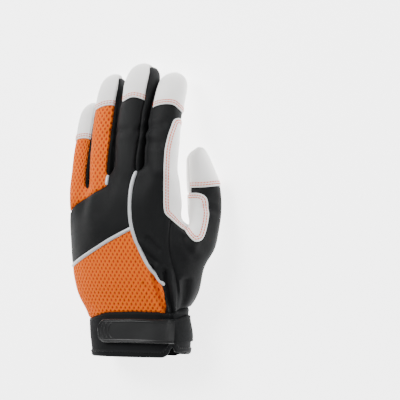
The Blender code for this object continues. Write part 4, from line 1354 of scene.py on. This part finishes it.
# Black stretch knit: near-black with a slight cold sheen, a fine rib about 0.6 mm apart, matte
black_fabric = new_material(
    "stretch_fabric",
    ("#090A0B", "#121314"),
    0.012,
    4.0,
    (
        (
            "ShaderNodeTexWave",
            {"bands_direction": "X"},
            {"Scale": 2 * math.pi / 0.0006 / 20, "Distortion": 0.6, "Detail": 2.0},
            0.4,
            0.0001,
        ),
        ("ShaderNodeTexNoise", {}, {"Scale": 1 / 0.0005, "Detail": 2.0}, 0.5, 0.00015),
    ),
    {"Roughness": 0.6, "Specular IOR Level": 0.13, "Sheen Weight": 0.01},
)[0]
for name in FABRIC_NODES:
    patch = patch_of(name, COARSE)
    rise = sewn_rise(name, patch)
    if name == "middle_index_fourchette":
        rise += FULLER_STRIP * (1 - near_edge(away_from(patch, PANEL_NAMES), SEAM_ROLL))
    piece = sewn_mesh(name, patch, rise, FABRIC_WALL)
    finish(piece, black_fabric, "stretch_fabric", name)

# Air mesh
# The back of the hand and of the ring and little fingers is orange spacer mesh, two millimetres of knitted
# polyester: a bright open face of slanting threads round staggered long holes, over a closed deeper layer.
MESH_WALL = 0.0018
# The holes are drawn coarser than in real spacer mesh, so that they show at the photo's size
HOLE_ACROSS = 0.0041
HOLE_ALONG = 0.0058
HOLE_WIDTH = 0.0017
HOLE_LENGTH = 0.0027
HOLE_DEPTH = 0.0007
# A hole's floor ends and its lip begins at these shares of its half size
HOLE_FLOOR = 0.6
HOLE_LIP = 1.15


def new_tree(name, sizes):
    """A node tree that takes a mesh, these sizes and a material: the tree and what it is given."""
    tree = bpy.data.node_groups.new(name, "GeometryNodeTree")
    kinds = {"Geometry": "Geometry", **dict.fromkeys(sizes, "Float"), "Material": "Material"}
    for socket, kind in kinds.items():
        tree.interface.new_socket(socket, in_out="INPUT", socket_type="NodeSocket" + kind)
    tree.interface.new_socket("Geometry", in_out="OUTPUT", socket_type="NodeSocketGeometry")
    return tree, tree.nodes.new("NodeGroupInput").outputs


def end_tree(tree, geometry, material):
    """Makes the instances real, gives all of it the material and hands it out."""
    real = add_node(tree, "GeometryNodeRealizeInstances", (), {"Geometry": geometry})
    dressed = add_node(
        tree, "GeometryNodeSetMaterial", (), {"Geometry": real.outputs[0], "Material": material}
    )
    add_node(tree, "NodeGroupOutput", (), {"Geometry": dressed.outputs[0]})


def hole_tree():
    """Geometry nodes that press the mesh's staggered holes into its outer face."""
    sizes = ("Pitch Across", "Pitch Along", "Hole Width", "Hole Length", "Depth")
    tree, given = new_tree("mesh_holes", sizes)
    stored, on_vectors, on_numbers = (
        "GeometryNodeInputNamedAttribute", "ShaderNodeVectorMath", "ShaderNodeMath"
    )
    cloth = add_node(tree, stored, {"data_type": "FLOAT_VECTOR"}, {"Name": "cloth"}).outputs["Attribute"]
    outside = add_node(tree, stored, {"data_type": "FLOAT"}, {"Name": "outside"}).outputs["Attribute"]
    pitch, size = (
        add_node(tree, "ShaderNodeCombineXYZ", (), {"X": given[x], "Y": given[y], "Z": 1.0}).outputs[0]
        for x, y in (("Pitch Across", "Pitch Along"), ("Hole Width", "Hole Length"))
    )
    half = add_node(tree, on_vectors, {"operation": "SCALE"}, {0: size, "Scale": 0.5}).outputs[0]
    per_hole = add_node(tree, on_vectors, {"operation": "DIVIDE"}, {0: pitch, 1: half}).outputs[0]
    cells = add_node(tree, on_vectors, {"operation": "DIVIDE"}, {0: cloth, 1: pitch}).outputs[0]
    away = []
    for shift in (0.0, 0.5):
        moved = add_node(tree, on_vectors, {"operation": "ADD"}, {0: cells, 1: (shift, shift, 0)})
        share = add_node(tree, on_vectors, {"operation": "FRACTION"}, {0: moved.outputs[0]})
        middle = {0: share.outputs[0], 1: (0.5, 0.5, 0)}
        centred = add_node(tree, on_vectors, {"operation": "SUBTRACT"}, middle)
        scaled = add_node(tree, on_vectors, {"operation": "MULTIPLY"}, {0: centred.outputs[0], 1: per_hole})
        length = add_node(tree, on_vectors, {"operation": "LENGTH"}, {0: scaled.outputs[0]})
        away.append(length.outputs["Value"])
    nearest = add_node(tree, on_numbers, {"operation": "MINIMUM"}, {0: away[0], 1: away[1]})
    slope = {"From Min": HOLE_FLOOR, "From Max": HOLE_LIP, "To Min": 1.0, "To Max": 0.0}
    hole = add_node(
        tree,
        "ShaderNodeMapRange",
        {"interpolation_type": "SMOOTHSTEP"},
        {"Value": nearest.outputs[0], **slope},
    )
    seen = add_node(tree, on_numbers, {"operation": "MULTIPLY"}, {0: hole.outputs[0], 1: outside})
    sunk = add_node(tree, on_numbers, {"operation": "MULTIPLY"}, {0: seen.outputs[0], 1: given["Depth"]})
    back = add_node(tree, on_numbers, {"operation": "MULTIPLY"}, {0: sunk.outputs[0], 1: -1.0})
    normal = tree.nodes.new("GeometryNodeInputNormal").outputs[0]
    push = add_node(tree, on_vectors, {"operation": "SCALE"}, {0: normal, "Scale": back.outputs[0]})
    # The hole mask is kept on the mesh too, for the material to paint shade into the holes
    kept = add_node(
        tree,
        "GeometryNodeStoreNamedAttribute",
        {"data_type": "FLOAT", "domain": "POINT"},
        {"Geometry": given["Geometry"], "Name": "hole", "Value": seen.outputs[0]},
    )
    pressed = add_node(
        tree, "GeometryNodeSetPosition", (), {"Geometry": kept.outputs[0], "Offset": push.outputs[0]}
    )
    end_tree(tree, pressed.outputs[0], given["Material"])
    return tree


def run_tree(piece, tree, values):
    """Puts a piece through a node tree with these inputs and returns the plain mesh that comes out."""
    modifier = piece.modifiers.new("nodes", "NODES")
    modifier.node_group = tree
    for item in tree.interface.items_tree:
        if item.in_out == "INPUT" and item.name in values:
            modifier[item.identifier] = values[item.name]
    bpy.context.view_layer.update()
    mesh = bpy.data.meshes.new_from_object(piece.evaluated_get(bpy.context.evaluated_depsgraph_get()))
    mesh.name = piece.name
    piece.modifiers.clear()
    piece.data = mesh
    return piece


def air_mesh():
    """Orange spacer mesh: vivid warm orange, slightly shiny yarn, in the holes a redder layer beneath,
    darkened further as painted shade.
    """
    material, tree, shader, _, face = new_material(
        "air_mesh",
        ("#DA6400", "#D05C00"),
        0.015,
        2.0,
        (("ShaderNodeTexNoise", {}, {"Scale": 1 / 0.0006, "Detail": 3.0}, 0.6, 0.0002),),
        {"Roughness": 0.7, "Specular IOR Level": 0.15},
    )
    # Painted shade: the hole mask mixes the face towards dark red #B03200, partly the deeper layer's own
    # redder tone, partly the shade inside the holes
    hole = add_node(tree, "ShaderNodeAttribute", {"attribute_name": "hole"}).outputs["Fac"]
    ground_with_painted_shade = add_node(
        tree, "ShaderNodeMix", {"data_type": "RGBA"}, {"Factor": hole, 6: face, 7: linear("#B03200")}
    )
    tree.links.new(ground_with_painted_shade.outputs[2], shader.inputs["Base Color"])
    return material


orange_mesh = air_mesh()
press_holes = hole_tree()
for name in ("hand_mesh_panel", "finger_mesh_panel"):
    patch = patch_of(name, FINE)
    piece = sewn_mesh(name, patch, sewn_rise(name, patch), MESH_WALL)
    run_tree(
        piece,
        press_holes,
        {
            "Pitch Across": HOLE_ACROSS,
            "Pitch Along": HOLE_ALONG,
            "Hole Width": HOLE_WIDTH,
            "Hole Length": HOLE_LENGTH,
            "Depth": HOLE_DEPTH,
            "Material": orange_mesh,
        },
    )
    finish(piece, orange_mesh, "air_mesh", name)

# Cuff
# A sleeve of black neoprene about three millimetres thick, faced with jersey and notched beside the strap.
# Its edge is turned up and sewn down about four millimetres from the fold.
CUFF_WALL = 0.0026
CUFF_HEM = 0.0055
HEM_LIFT = 0.0007
# How far the hem takes to step down, how far inside it the stitches run, then the fold's rounding
HEM_STEP = 0.0008
HEM_ROW = 0.0014
FOLD_ROUND = 0.0012
FOLD_REACH = 0.0016


# Jersey-faced neoprene: soft black, spongy micro texture, nearly no gloss
black_neoprene = new_material(
    "neoprene",
    ("#090A0B", "#111214"),
    0.016,
    3.0,
    (("ShaderNodeTexNoise", {}, {"Scale": 1 / 0.0007, "Detail": 3.0}, 0.5, 0.0002),),
    {"Roughness": 0.75, "Specular IOR Level": 0.13, "Sheen Weight": 0.01},
)[0]
cuff_patch = patch_of("cuff", FINE)
cuff_edge = away_from(cuff_patch, ("open",))
cuff_rise = sewn_rise("cuff", cuff_patch)
cuff_rise += HEM_LIFT * np.clip((CUFF_HEM - cuff_edge) / HEM_STEP, 0, 1)
cuff_rise -= FOLD_ROUND * near_edge(cuff_edge, FOLD_REACH)
cuff = sewn_mesh("cuff", cuff_patch, cuff_rise, CUFF_WALL)
keep_rows("cuff_stitches", iso_lines(cuff_patch, cuff_rise, cuff_edge, CUFF_HEM - HEM_ROW))
finish(cuff, black_neoprene, "neoprene", "cuff")

# Reflective piping
# Silver retro-reflective tape folded round a cord three millimetres thick and sewn into the seams beside
# the orange mesh: one long line up the hand, one under the black band and a short one at the finger crotch.
PIPING_WIDTH = 0.0030
PIPING_RISE = 0.0013
PIPING_DEPTH = 0.0010
PIPING_POINTS = 11
PIPING_SPACING = 0.0012
# Each end narrows and sinks into its seam over this many points, from this many points' worth
PIPING_TAPER = 2
PIPING_TUCK = 1.2


# Retro-reflective tape: light cool grey with a pearly gloss, fine glass beads and faint weave
tape = new_material(
    "reflective_tape",
    ("#C6C8CA", "#A9ABAE"),
    0.006,
    3.0,
    (("ShaderNodeTexVoronoi", {}, {"Scale": 1 / 0.0004}, 0.25, 0.0001),),
    {"Roughness": 0.38, "Metallic": 0.15},
)[0]


def along_net(corners):
    """Evenly spaced points on the fine form along a line of the net, with the form's normals."""
    line = P[corners]
    lengths = np.concatenate([[0], np.cumsum(np.linalg.norm(np.diff(line, axis=0), axis=1))])
    count = max(int(lengths[-1] / PIPING_SPACING), 4)
    places, ups = [], []
    for share in np.linspace(0, lengths[-1], count):
        rough = Vector([np.interp(share, lengths, line[:, axis]) for axis in range(3)])
        places.append(np.array(SKIN.find_nearest(rough)[0]))
        ups.append([np.interp(share, lengths, N[corners][:, axis]) for axis in range(3)])
    return smooth_line(np.array(places), closed=False, rounds=8), np.array(ups)


def swept_bar(name, places, ups, profile):
    """A closed bar along the places, with the profile's points across and up."""
    ways = np.gradient(places, axis=0)
    ups = ups / np.linalg.norm(ups, axis=1, keepdims=True)
    sides = np.cross(ways, ups)
    sides /= np.linalg.norm(sides, axis=1, keepdims=True)
    points_round = []
    for i, (place, side, up) in enumerate(zip(places, sides, ups)):
        full = min(1, (min(i, len(places) - 1 - i) + PIPING_TUCK) / PIPING_TAPER)
        for across, high in profile:
            points_round.append(place + side * across * full + up * (high - PIPING_RISE * (1 - full)))
    count = len(profile)
    solid = []
    for i in range(len(places) - 1):
        for k in range(count):
            a, b = i * count + k, i * count + (k + 1) % count
            solid.append([a, a + count, b + count, b])
    solid += [list(range(count)), [(len(places) - 1) * count + k for k in reversed(range(count))]]
    return new_piece(name, points_round, [], solid, sharp_from=60)


piping_profile = [(-PIPING_WIDTH / 2, -PIPING_DEPTH), (PIPING_WIDTH / 2, -PIPING_DEPTH)]
for step in range(PIPING_POINTS):
    turn = math.pi * step / (PIPING_POINTS - 1)
    piping_profile.append((PIPING_WIDTH / 2 * math.cos(turn), PIPING_RISE * math.sin(turn)))
PIPED_LINES = {
    "main_piping": [NET[row, PIPED_COLUMN] for row in range(CUFF_ROW + 2, ROWS + 1)],
    "band_piping": [NET[BAND_ROW, column] for column in [PALM_END, OUTER_SIDE, *range(PIPED_COLUMN + 1)]],
    "crotch_piping": [NET[BAND_TOP_ROW, 8], NET[ROWS, 8]],
}
for name, corners in PIPED_LINES.items():
    piece = swept_bar(name + "_sewn", *along_net(corners), piping_profile)
    finish(piece, tape, "reflective_piping", name)

# Strap
# A strap of black webbing comes from its anchor under the wrist, round the thumb side and over the back.
# It ends in a moulded rubber tab with a double raised rim and curved grip ribs, held shut by hook tape.
STRAP_WALL = 0.0015
# The net's row along the strap's middle
STRAP_ROW = 2
# Places in STRAP_ORDER: where the webbing ends under the tab and at its anchor, and the step between samples
STRAP_START = 3.2
STRAP_END = 22
STRAP_STEP = 0.25
# How many points the webbing has along and across; the tab along its rounded end, along its rest and across
STRAP_POINTS = (110, 25)
TAB_POINTS = (24, 160, 61)
# The strap's rounded edge: depth and reach; the selvedge line inside it: depth, inset and half width
STRAP_EDGE = (0.0004, 0.001)
SELVEDGE = (0.0002, 0.002, 0.0005)
# The tab's edge is rounded too: depth and reach
TAB_EDGE = (0.0006, 0.0008)
TAB_WALL = 0.0018
TAB_START = 2.75
TAB_END = 15.0
TAB_CORNER = 0.0078
STRAP_ORDER = [*range(PALM_START), "heel", *range(PALM_START, PALM_END)]


def on_column(row, column):
    """The net at a row and a place in STRAP_ORDER that may lie between lines: point and normal."""
    low_row = min(int(row), ROWS - 1)
    down, across = row - low_row, column - int(column)
    place, normal = np.zeros(3), np.zeros(3)
    for step, share in ((0, 1 - across), (1, across)):
        key = STRAP_ORDER[min(int(column) + step, len(STRAP_ORDER) - 1)]
        for r, weight in ((low_row, (1 - down) * share), (low_row + 1, down * share)):
            corner = HEEL_COLUMN[r] if key == "heel" else NET[r, key]
            place += weight * P[corner]
            normal += weight * N[corner]
    return place, normal / np.linalg.norm(normal)


def strap_columns():
    """Places in STRAP_ORDER and how far along the strap from its tab's end each lies."""
    places = np.arange(TAB_START, STRAP_END + STRAP_STEP / 2, STRAP_STEP)
    line = []
    for place in places:
        rough, _ = on_column(STRAP_ROW, place)
        line.append(np.array(SKIN.find_nearest(Vector(rough))[0]))
    lengths = np.concatenate([[0], np.cumsum(np.linalg.norm(np.diff(line, axis=0), axis=1))])
    return places, lengths


STRAP_PLACES, STRAP_LENGTHS = strap_columns()
# The strap's normal is a mean over these places beside it, because webbing bridges small dents
BESIDE = (-0.6, -0.3, 0.3, 0.6)


def strap_frame(length, across):
    """The fine form under the strap at a length along it and a place across it, from -1 to 1."""
    column = np.interp(length, STRAP_LENGTHS, STRAP_PLACES)
    rough, up = on_column(STRAP_ROW + across, column)
    beside = np.clip(column + np.array(BESIDE), TAB_START, STRAP_END)
    up = up + sum(on_column(STRAP_ROW + across, place)[1] for place in beside)
    return np.array(SKIN.find_nearest(Vector(rough))[0]), up / np.linalg.norm(up)


def strap_piece(name, lengths, half_width, shares, under, height):
    """A closed piece lying along the strap: lengths by shares of its half width."""
    low, high = [], []
    for length in lengths:
        for share in shares:
            across = share * half_width(length)
            place, up = strap_frame(length, across / (STRAP_WIDTH / 2))
            low.append(place + up * under)
            high.append(place + up * (under + height(length, across)))
    count, deep = len(low), len(shares)
    solid = []
    for j in range(len(lengths) - 1):
        for i in range(deep - 1):
            a, b = j * deep + i, (j + 1) * deep + i
            solid.append([count + a, count + b, count + b + 1, count + a + 1])
            solid.append([a, a + 1, b + 1, b])
    rim = [j * deep for j in range(len(lengths))]
    rim += [(len(lengths) - 1) * deep + i for i in range(1, deep)]
    rim += [j * deep + deep - 1 for j in range(len(lengths) - 2, -1, -1)]
    rim += [i for i in range(deep - 2, 0, -1)]
    for a, b in zip(rim, rim[1:] + rim[:1]):
        solid.append([a, b, b + count, a + count])
    return new_piece(name, low + high, [], solid, sharp_from=45)


def strap_height(length, across):
    """How high the webbing stands, with its rounded edge and selvedge."""
    edge = STRAP_WIDTH / 2 - abs(across)
    rounded = STRAP_EDGE[0] * max(0, 1 - edge / STRAP_EDGE[1]) ** 2
    deep, inset, half = SELVEDGE
    return STRAP_WALL - rounded - deep * math.exp(-(((edge - inset) / half) ** 2))


strap_full = STRAP_LENGTHS[-1]
strap_from = float(np.interp(STRAP_START, STRAP_PLACES, STRAP_LENGTHS))
strap = strap_piece(
    "strap_band_woven",
    np.linspace(strap_from, strap_full, STRAP_POINTS[0]),
    lambda length: STRAP_WIDTH / 2,
    np.sin(np.linspace(-math.pi / 2, math.pi / 2, STRAP_POINTS[1])),
    CLEARANCE,
    strap_height,
)
# Woven polyester tape: black, a tight cross rib 0.9 mm apart, slightly frayed tone
webbing = new_material(
    "strap_webbing",
    ("#0A0B0C", "#151617"),
    0.004,
    4.0,
    (
        (
            "ShaderNodeTexWave",
            {"bands_direction": "Y"},
            {"Scale": 2 * math.pi / 0.0009 / 20, "Distortion": 0.4, "Detail": 1.0},
            0.5,
            0.0002,
        ),
    ),
    {"Roughness": 0.8, "Specular IOR Level": 0.12},
)[0]
finish(strap, webbing, "strap_webbing", "strap_band")

# The tab's raised lines: how far inside its edge, half width and height
TAB_LINES = ((0.0008, 0.00045, 0.00060), (0.0022, 0.0003, 0.00030))
# Grip ribs at its rounded end: radius, half width and height
TAB_RIBS = ((0.0150, 0.0004, 0.0005), (0.0116, 0.0004, 0.0005), (0.0082, 0.0004, 0.0004))
TAB_RIB_CENTRE = 0.0190
TAB_RIB_HALF = 0.0062
tab_length = float(np.interp(TAB_END, STRAP_PLACES, STRAP_LENGTHS))


def tab_half_width(length):
    """Half the tab's width: a rounded end on the little-finger side."""
    into = TAB_CORNER - min(length, TAB_CORNER)
    return STRAP_WIDTH / 2 - TAB_CORNER + math.sqrt(max(TAB_CORNER**2 - into**2, 0))


def tab_edge(length, across):
    """How far a point of the tab lies inside its edge."""
    into, out = TAB_CORNER - length, abs(across) - (STRAP_WIDTH / 2 - TAB_CORNER)
    if into > 0 and out > 0:
        return TAB_CORNER - math.hypot(into, out)
    return min(length, STRAP_WIDTH / 2 - abs(across))


def tab_height(length, across):
    """How high the tab stands, with its raised lines and grip ribs."""
    edge = tab_edge(length, across)
    high = TAB_WALL - TAB_EDGE[0] * max(0, 1 - edge / TAB_EDGE[1]) ** 2
    for inset, half, rise in TAB_LINES:
        high += rise * math.exp(-(((edge - inset) / half) ** 2))
    radius = math.hypot(length - TAB_RIB_CENTRE, across)
    if length < TAB_RIB_CENTRE and abs(across) < TAB_RIB_HALF:
        for ring, half, rise in TAB_RIBS:
            high += rise * math.exp(-(((radius - ring) / half) ** 2))
    return high


def moulded_rubber():
    """Moulded rubber: charcoal, satin, with a fine blasted mould texture and a paler bloom in patches."""
    material, tree, shader, bloom, _ = new_material(
        "moulded_rubber",
        ("#0B0C0D", "#131415"),
        0.009,
        3.0,
        (("ShaderNodeTexNoise", {}, {"Scale": 1 / 0.0004, "Detail": 3.0}, 0.2, 0.0001),),
        {"Specular IOR Level": 0.35},
    )
    gloss = add_node(tree, "ShaderNodeMapRange", (), {"Value": bloom, "To Min": 0.4, "To Max": 0.5})
    tree.links.new(gloss.outputs["Result"], shader.inputs["Roughness"])
    return material


round_end = TAB_CORNER * (1 - np.cos(np.linspace(0, math.pi / 2, TAB_POINTS[0])))
straight_rest = np.linspace(TAB_CORNER, tab_length, TAB_POINTS[1])[1:]
tab = strap_piece(
    "strap_tab_moulded",
    np.concatenate([round_end, straight_rest]),
    tab_half_width,
    np.sin(np.linspace(-math.pi / 2, math.pi / 2, TAB_POINTS[2])),
    2 * CLEARANCE + STRAP_WALL,
    tab_height,
)
finish(tab, moulded_rubber(), "moulded_rubber", "strap_tab")

# Heel tab
# A patch of the same leather, cut like a bottle, is sewn over the palm's heel and the cuff under the wrist,
# with two rows of orange thread inside its edge. The glove rests on it.
HEEL_TAB_BOTTOM = 0.005
HEEL_TAB_LENGTH = 0.054
HEEL_TAB_WIDTH = 0.031
HEEL_TAB_X = 0.004
HEEL_TAB_WALL = 0.0012
HEEL_TAB_GRID = (44, 25)
HEEL_TAB_OUTLINE = (
    (0.0, 0.70),
    (0.035, 0.76),
    (0.12, 0.74),
    (0.30, 0.62),
    (0.48, 0.63),
    (0.64, 0.78),
    (0.77, 0.96),
    (0.87, 1.0),
    (0.94, 0.84),
    (0.985, 0.52),
    (1.0, 0.25),
)


def heel_tab_half(along):
    """Half the heel tab's width at a share of its length."""
    shares, halves = zip(*HEEL_TAB_OUTLINE)
    return np.interp(along, shares, halves) * HEEL_TAB_WIDTH / 2


def heel_tab_patch():
    """The tab's place on the form as seen from below, as a patch like a sewn panel's."""
    rows, columns = HEEL_TAB_GRID
    places, normals = [], []
    for along in (1 - np.cos(np.linspace(0, math.pi, rows))) / 2:
        half = heel_tab_half(along)
        for step in np.linspace(-1, 1, columns):
            x, y = HEEL_TAB_X + step * half, HEEL_TAB_BOTTOM + along * HEEL_TAB_LENGTH
            spot = SKIN.ray_cast(Vector((x, y, -1)), Vector((0, 0, 1)))[0]
            places.append(np.array(spot) - [0, 0, CLEARANCE])
            normals.append([0, 0, -1.0])
    quads, rim = [], []
    for j in range(rows - 1):
        for i in range(columns - 1):
            a, b = j * columns + i, (j + 1) * columns + i
            quads.append([a, b, b + 1, a + 1])
    quads = np.array(quads)
    starts, ends = quads.ravel(), np.roll(quads, -1, axis=1).ravel()
    size = rows * columns
    inside = np.isin(ends * size + starts, starts * size + ends)
    rim = np.stack([starts[~inside], ends[~inside]], axis=1)
    return {
        "places": np.array(places),
        "normals": np.array(normals),
        "quads": quads,
        "rim": rim,
        "beyond": ["open"] * len(rim),
        "cloth": np.zeros((size, 2)),
    }


heel_patch = heel_tab_patch()
heel_edge = away_from(heel_patch, ("open",))
heel_rise = np.full(len(heel_edge), HEEL_TAB_WALL) - EDGE_ROUND * near_edge(heel_edge, EDGE_REACH)
heel_rise = np.minimum(heel_rise, heel_patch["places"][:, 2])
for inset in LAP_ROWS:
    keep_rows("heel_tab_stitches", iso_lines(heel_patch, heel_rise, heel_edge, inset))
heel_tab = sewn_mesh("heel_tab", heel_patch, heel_rise, 0)
finish(heel_tab, leather, "goat_leather", "heel_tab")

# Stitching
# Lap seams and the palm's quilting are sewn with thick orange polyester thread, the cuff's hem with black.
# Each stitch is about two millimetres long and sinks into the leather at both ends.
# The thread is drawn thicker than real, so that it shows at the photo's size
STITCH_PITCH = 0.0024
STITCH_LENGTH = 0.0022
STITCH_THICKNESS = 0.00095


def stitch_tree():
    """Geometry nodes that lay one stitch after another along a line."""
    tree, given = new_tree("stitches", ("Pitch", "Length", "Thickness"))
    curve = add_node(tree, "GeometryNodeMeshToCurve", (), {"Mesh": given["Geometry"]})
    spaced = {"Curve": curve.outputs[0], "Length": given["Pitch"]}
    row = add_node(tree, "GeometryNodeResampleCurve", {"mode": "LENGTH"}, spaced)
    ball = add_node(tree, "GeometryNodeMeshUVSphere", (), {"Segments": 6, "Rings": 5, "Radius": 0.5})
    shape = add_node(
        tree,
        "ShaderNodeCombineXYZ",
        (),
        {"X": given["Thickness"], "Y": given["Thickness"], "Z": given["Length"]},
    )
    stitch = add_node(
        tree, "GeometryNodeTransform", (), {"Geometry": ball.outputs[0], "Scale": shape.outputs[0]}
    )
    way = tree.nodes.new("GeometryNodeInputTangent")
    turn = add_node(tree, "FunctionNodeAlignRotationToVector", {"axis": "Z"}, {"Vector": way.outputs[0]})
    laid = add_node(
        tree,
        "GeometryNodeInstanceOnPoints",
        (),
        {"Points": row.outputs[0], "Instance": stitch.outputs[0], "Rotation": turn.outputs[0]},
    )
    smooth = add_node(tree, "GeometryNodeSetShadeSmooth", (), {"Geometry": laid.outputs[0]})
    end_tree(tree, smooth.outputs[0], given["Material"])
    return tree


# Bonded polyester thread: two close tones wandering in patches about half a millimetre across, with a slight
# gloss
orange_thread, black_thread = (
    new_material(name, tones, 0.0005, 2.0, (), {"Roughness": 0.6, "Specular IOR Level": 0.2})[0]
    for name, tones in (("orange_thread", ("#E65A12", "#D24808")), ("black_thread", ("#101112", "#08090A")))
)
sew = stitch_tree()
for name, lines in stitch_lines.items():
    places, edges = [], []
    for line in lines:
        edges += [(len(places) + i, len(places) + i + 1) for i in range(len(line) - 1)]
        places += line.tolist()
    piece = new_piece(name, places, edges, [])
    dark = name == "cuff_stitches"
    run_tree(
        piece,
        sew,
        {
            "Pitch": STITCH_PITCH,
            "Length": STITCH_LENGTH,
            "Thickness": STITCH_THICKNESS,
            "Material": black_thread if dark else orange_thread,
        },
    )
    finish(piece, None, "neoprene" if dark else "goat_leather")

# Floor, light and camera
# A pale matte floor, soft studio light mostly from the upper left, and the photograph's view through a
# long lens, square to the glove's length.
CAMERA_DISTANCE = 2.4
SENSOR = 36
PHOTO_SIDE = 400
PHOTO_ZERO = (140, 356)
TURN_HEIGHT = 0.023
FLOOR_REACH = 6


def pale_floor():
    """Matte studio board: near-white, faintly cloudy, lit evenly from behind."""
    material, tree, shader, _, board = new_material(
        "pale_floor", ("#FAFAFA", "#F6F6F6"), 1 / 6, 2.0, (), {"Roughness": 0.95, "Emission Strength": 3.6}
    )
    tree.links.new(board, shader.inputs["Emission Color"])
    return material


floor_corners = [(x * FLOOR_REACH, y * FLOOR_REACH, 0) for x, y in ((-1, -1), (1, -1), (1, 1), (-1, 1))]
floor = new_piece("floor", floor_corners, [], [(0, 1, 2, 3)])
floor.data.materials.append(pale_floor())

camera = bpy.data.objects.new("camera", bpy.data.cameras.new("camera"))
bpy.context.collection.objects.link(camera)
bpy.context.scene.camera = camera
photo_across = (PHOTO_SIDE / 2 - PHOTO_ZERO[0]) * PIXEL
photo_up = (PHOTO_ZERO[1] - PHOTO_SIDE / 2) * PIXEL
centre = Vector(SHIFT) + PHOTO_RIGHT * photo_across + Vector((0, photo_up, TURN_HEIGHT))
turned = Matrix((PHOTO_RIGHT, Vector((0, 1, 0)), PHOTO_BACK)).transposed().to_4x4()
camera.matrix_world = Matrix.Translation(centre + PHOTO_BACK * CAMERA_DISTANCE) @ turned
camera.data.sensor_width = SENSOR
camera.data.lens = SENSOR * CAMERA_DISTANCE / (PHOTO_SIDE * PIXEL)
camera.data.clip_end = 50


def soft_light(name, place, size, watts):
    """A square lamp that faces the glove."""
    lamp = bpy.data.lights.new(name, "AREA")
    lamp.shape = "SQUARE"
    lamp.size = size
    lamp.energy = watts
    holder = bpy.data.objects.new(name, lamp)
    bpy.context.collection.objects.link(holder)
    way = Vector(place)
    holder.matrix_world = Matrix.Translation(way) @ way.to_track_quat("Z", "Y").to_matrix().to_4x4()


soft_light("key", (-0.9, 1.0, 1.6), 1.0, 64)
soft_light("fill", (1.5, -0.3, 1.2), 1.4, 12)
world = bpy.data.worlds.new("studio")
bpy.context.scene.world = world
world.use_nodes = True
world.node_tree.nodes["Background"].inputs["Color"].default_value = linear("#FFFFFF")
world.node_tree.nodes["Background"].inputs["Strength"].default_value = 0.5
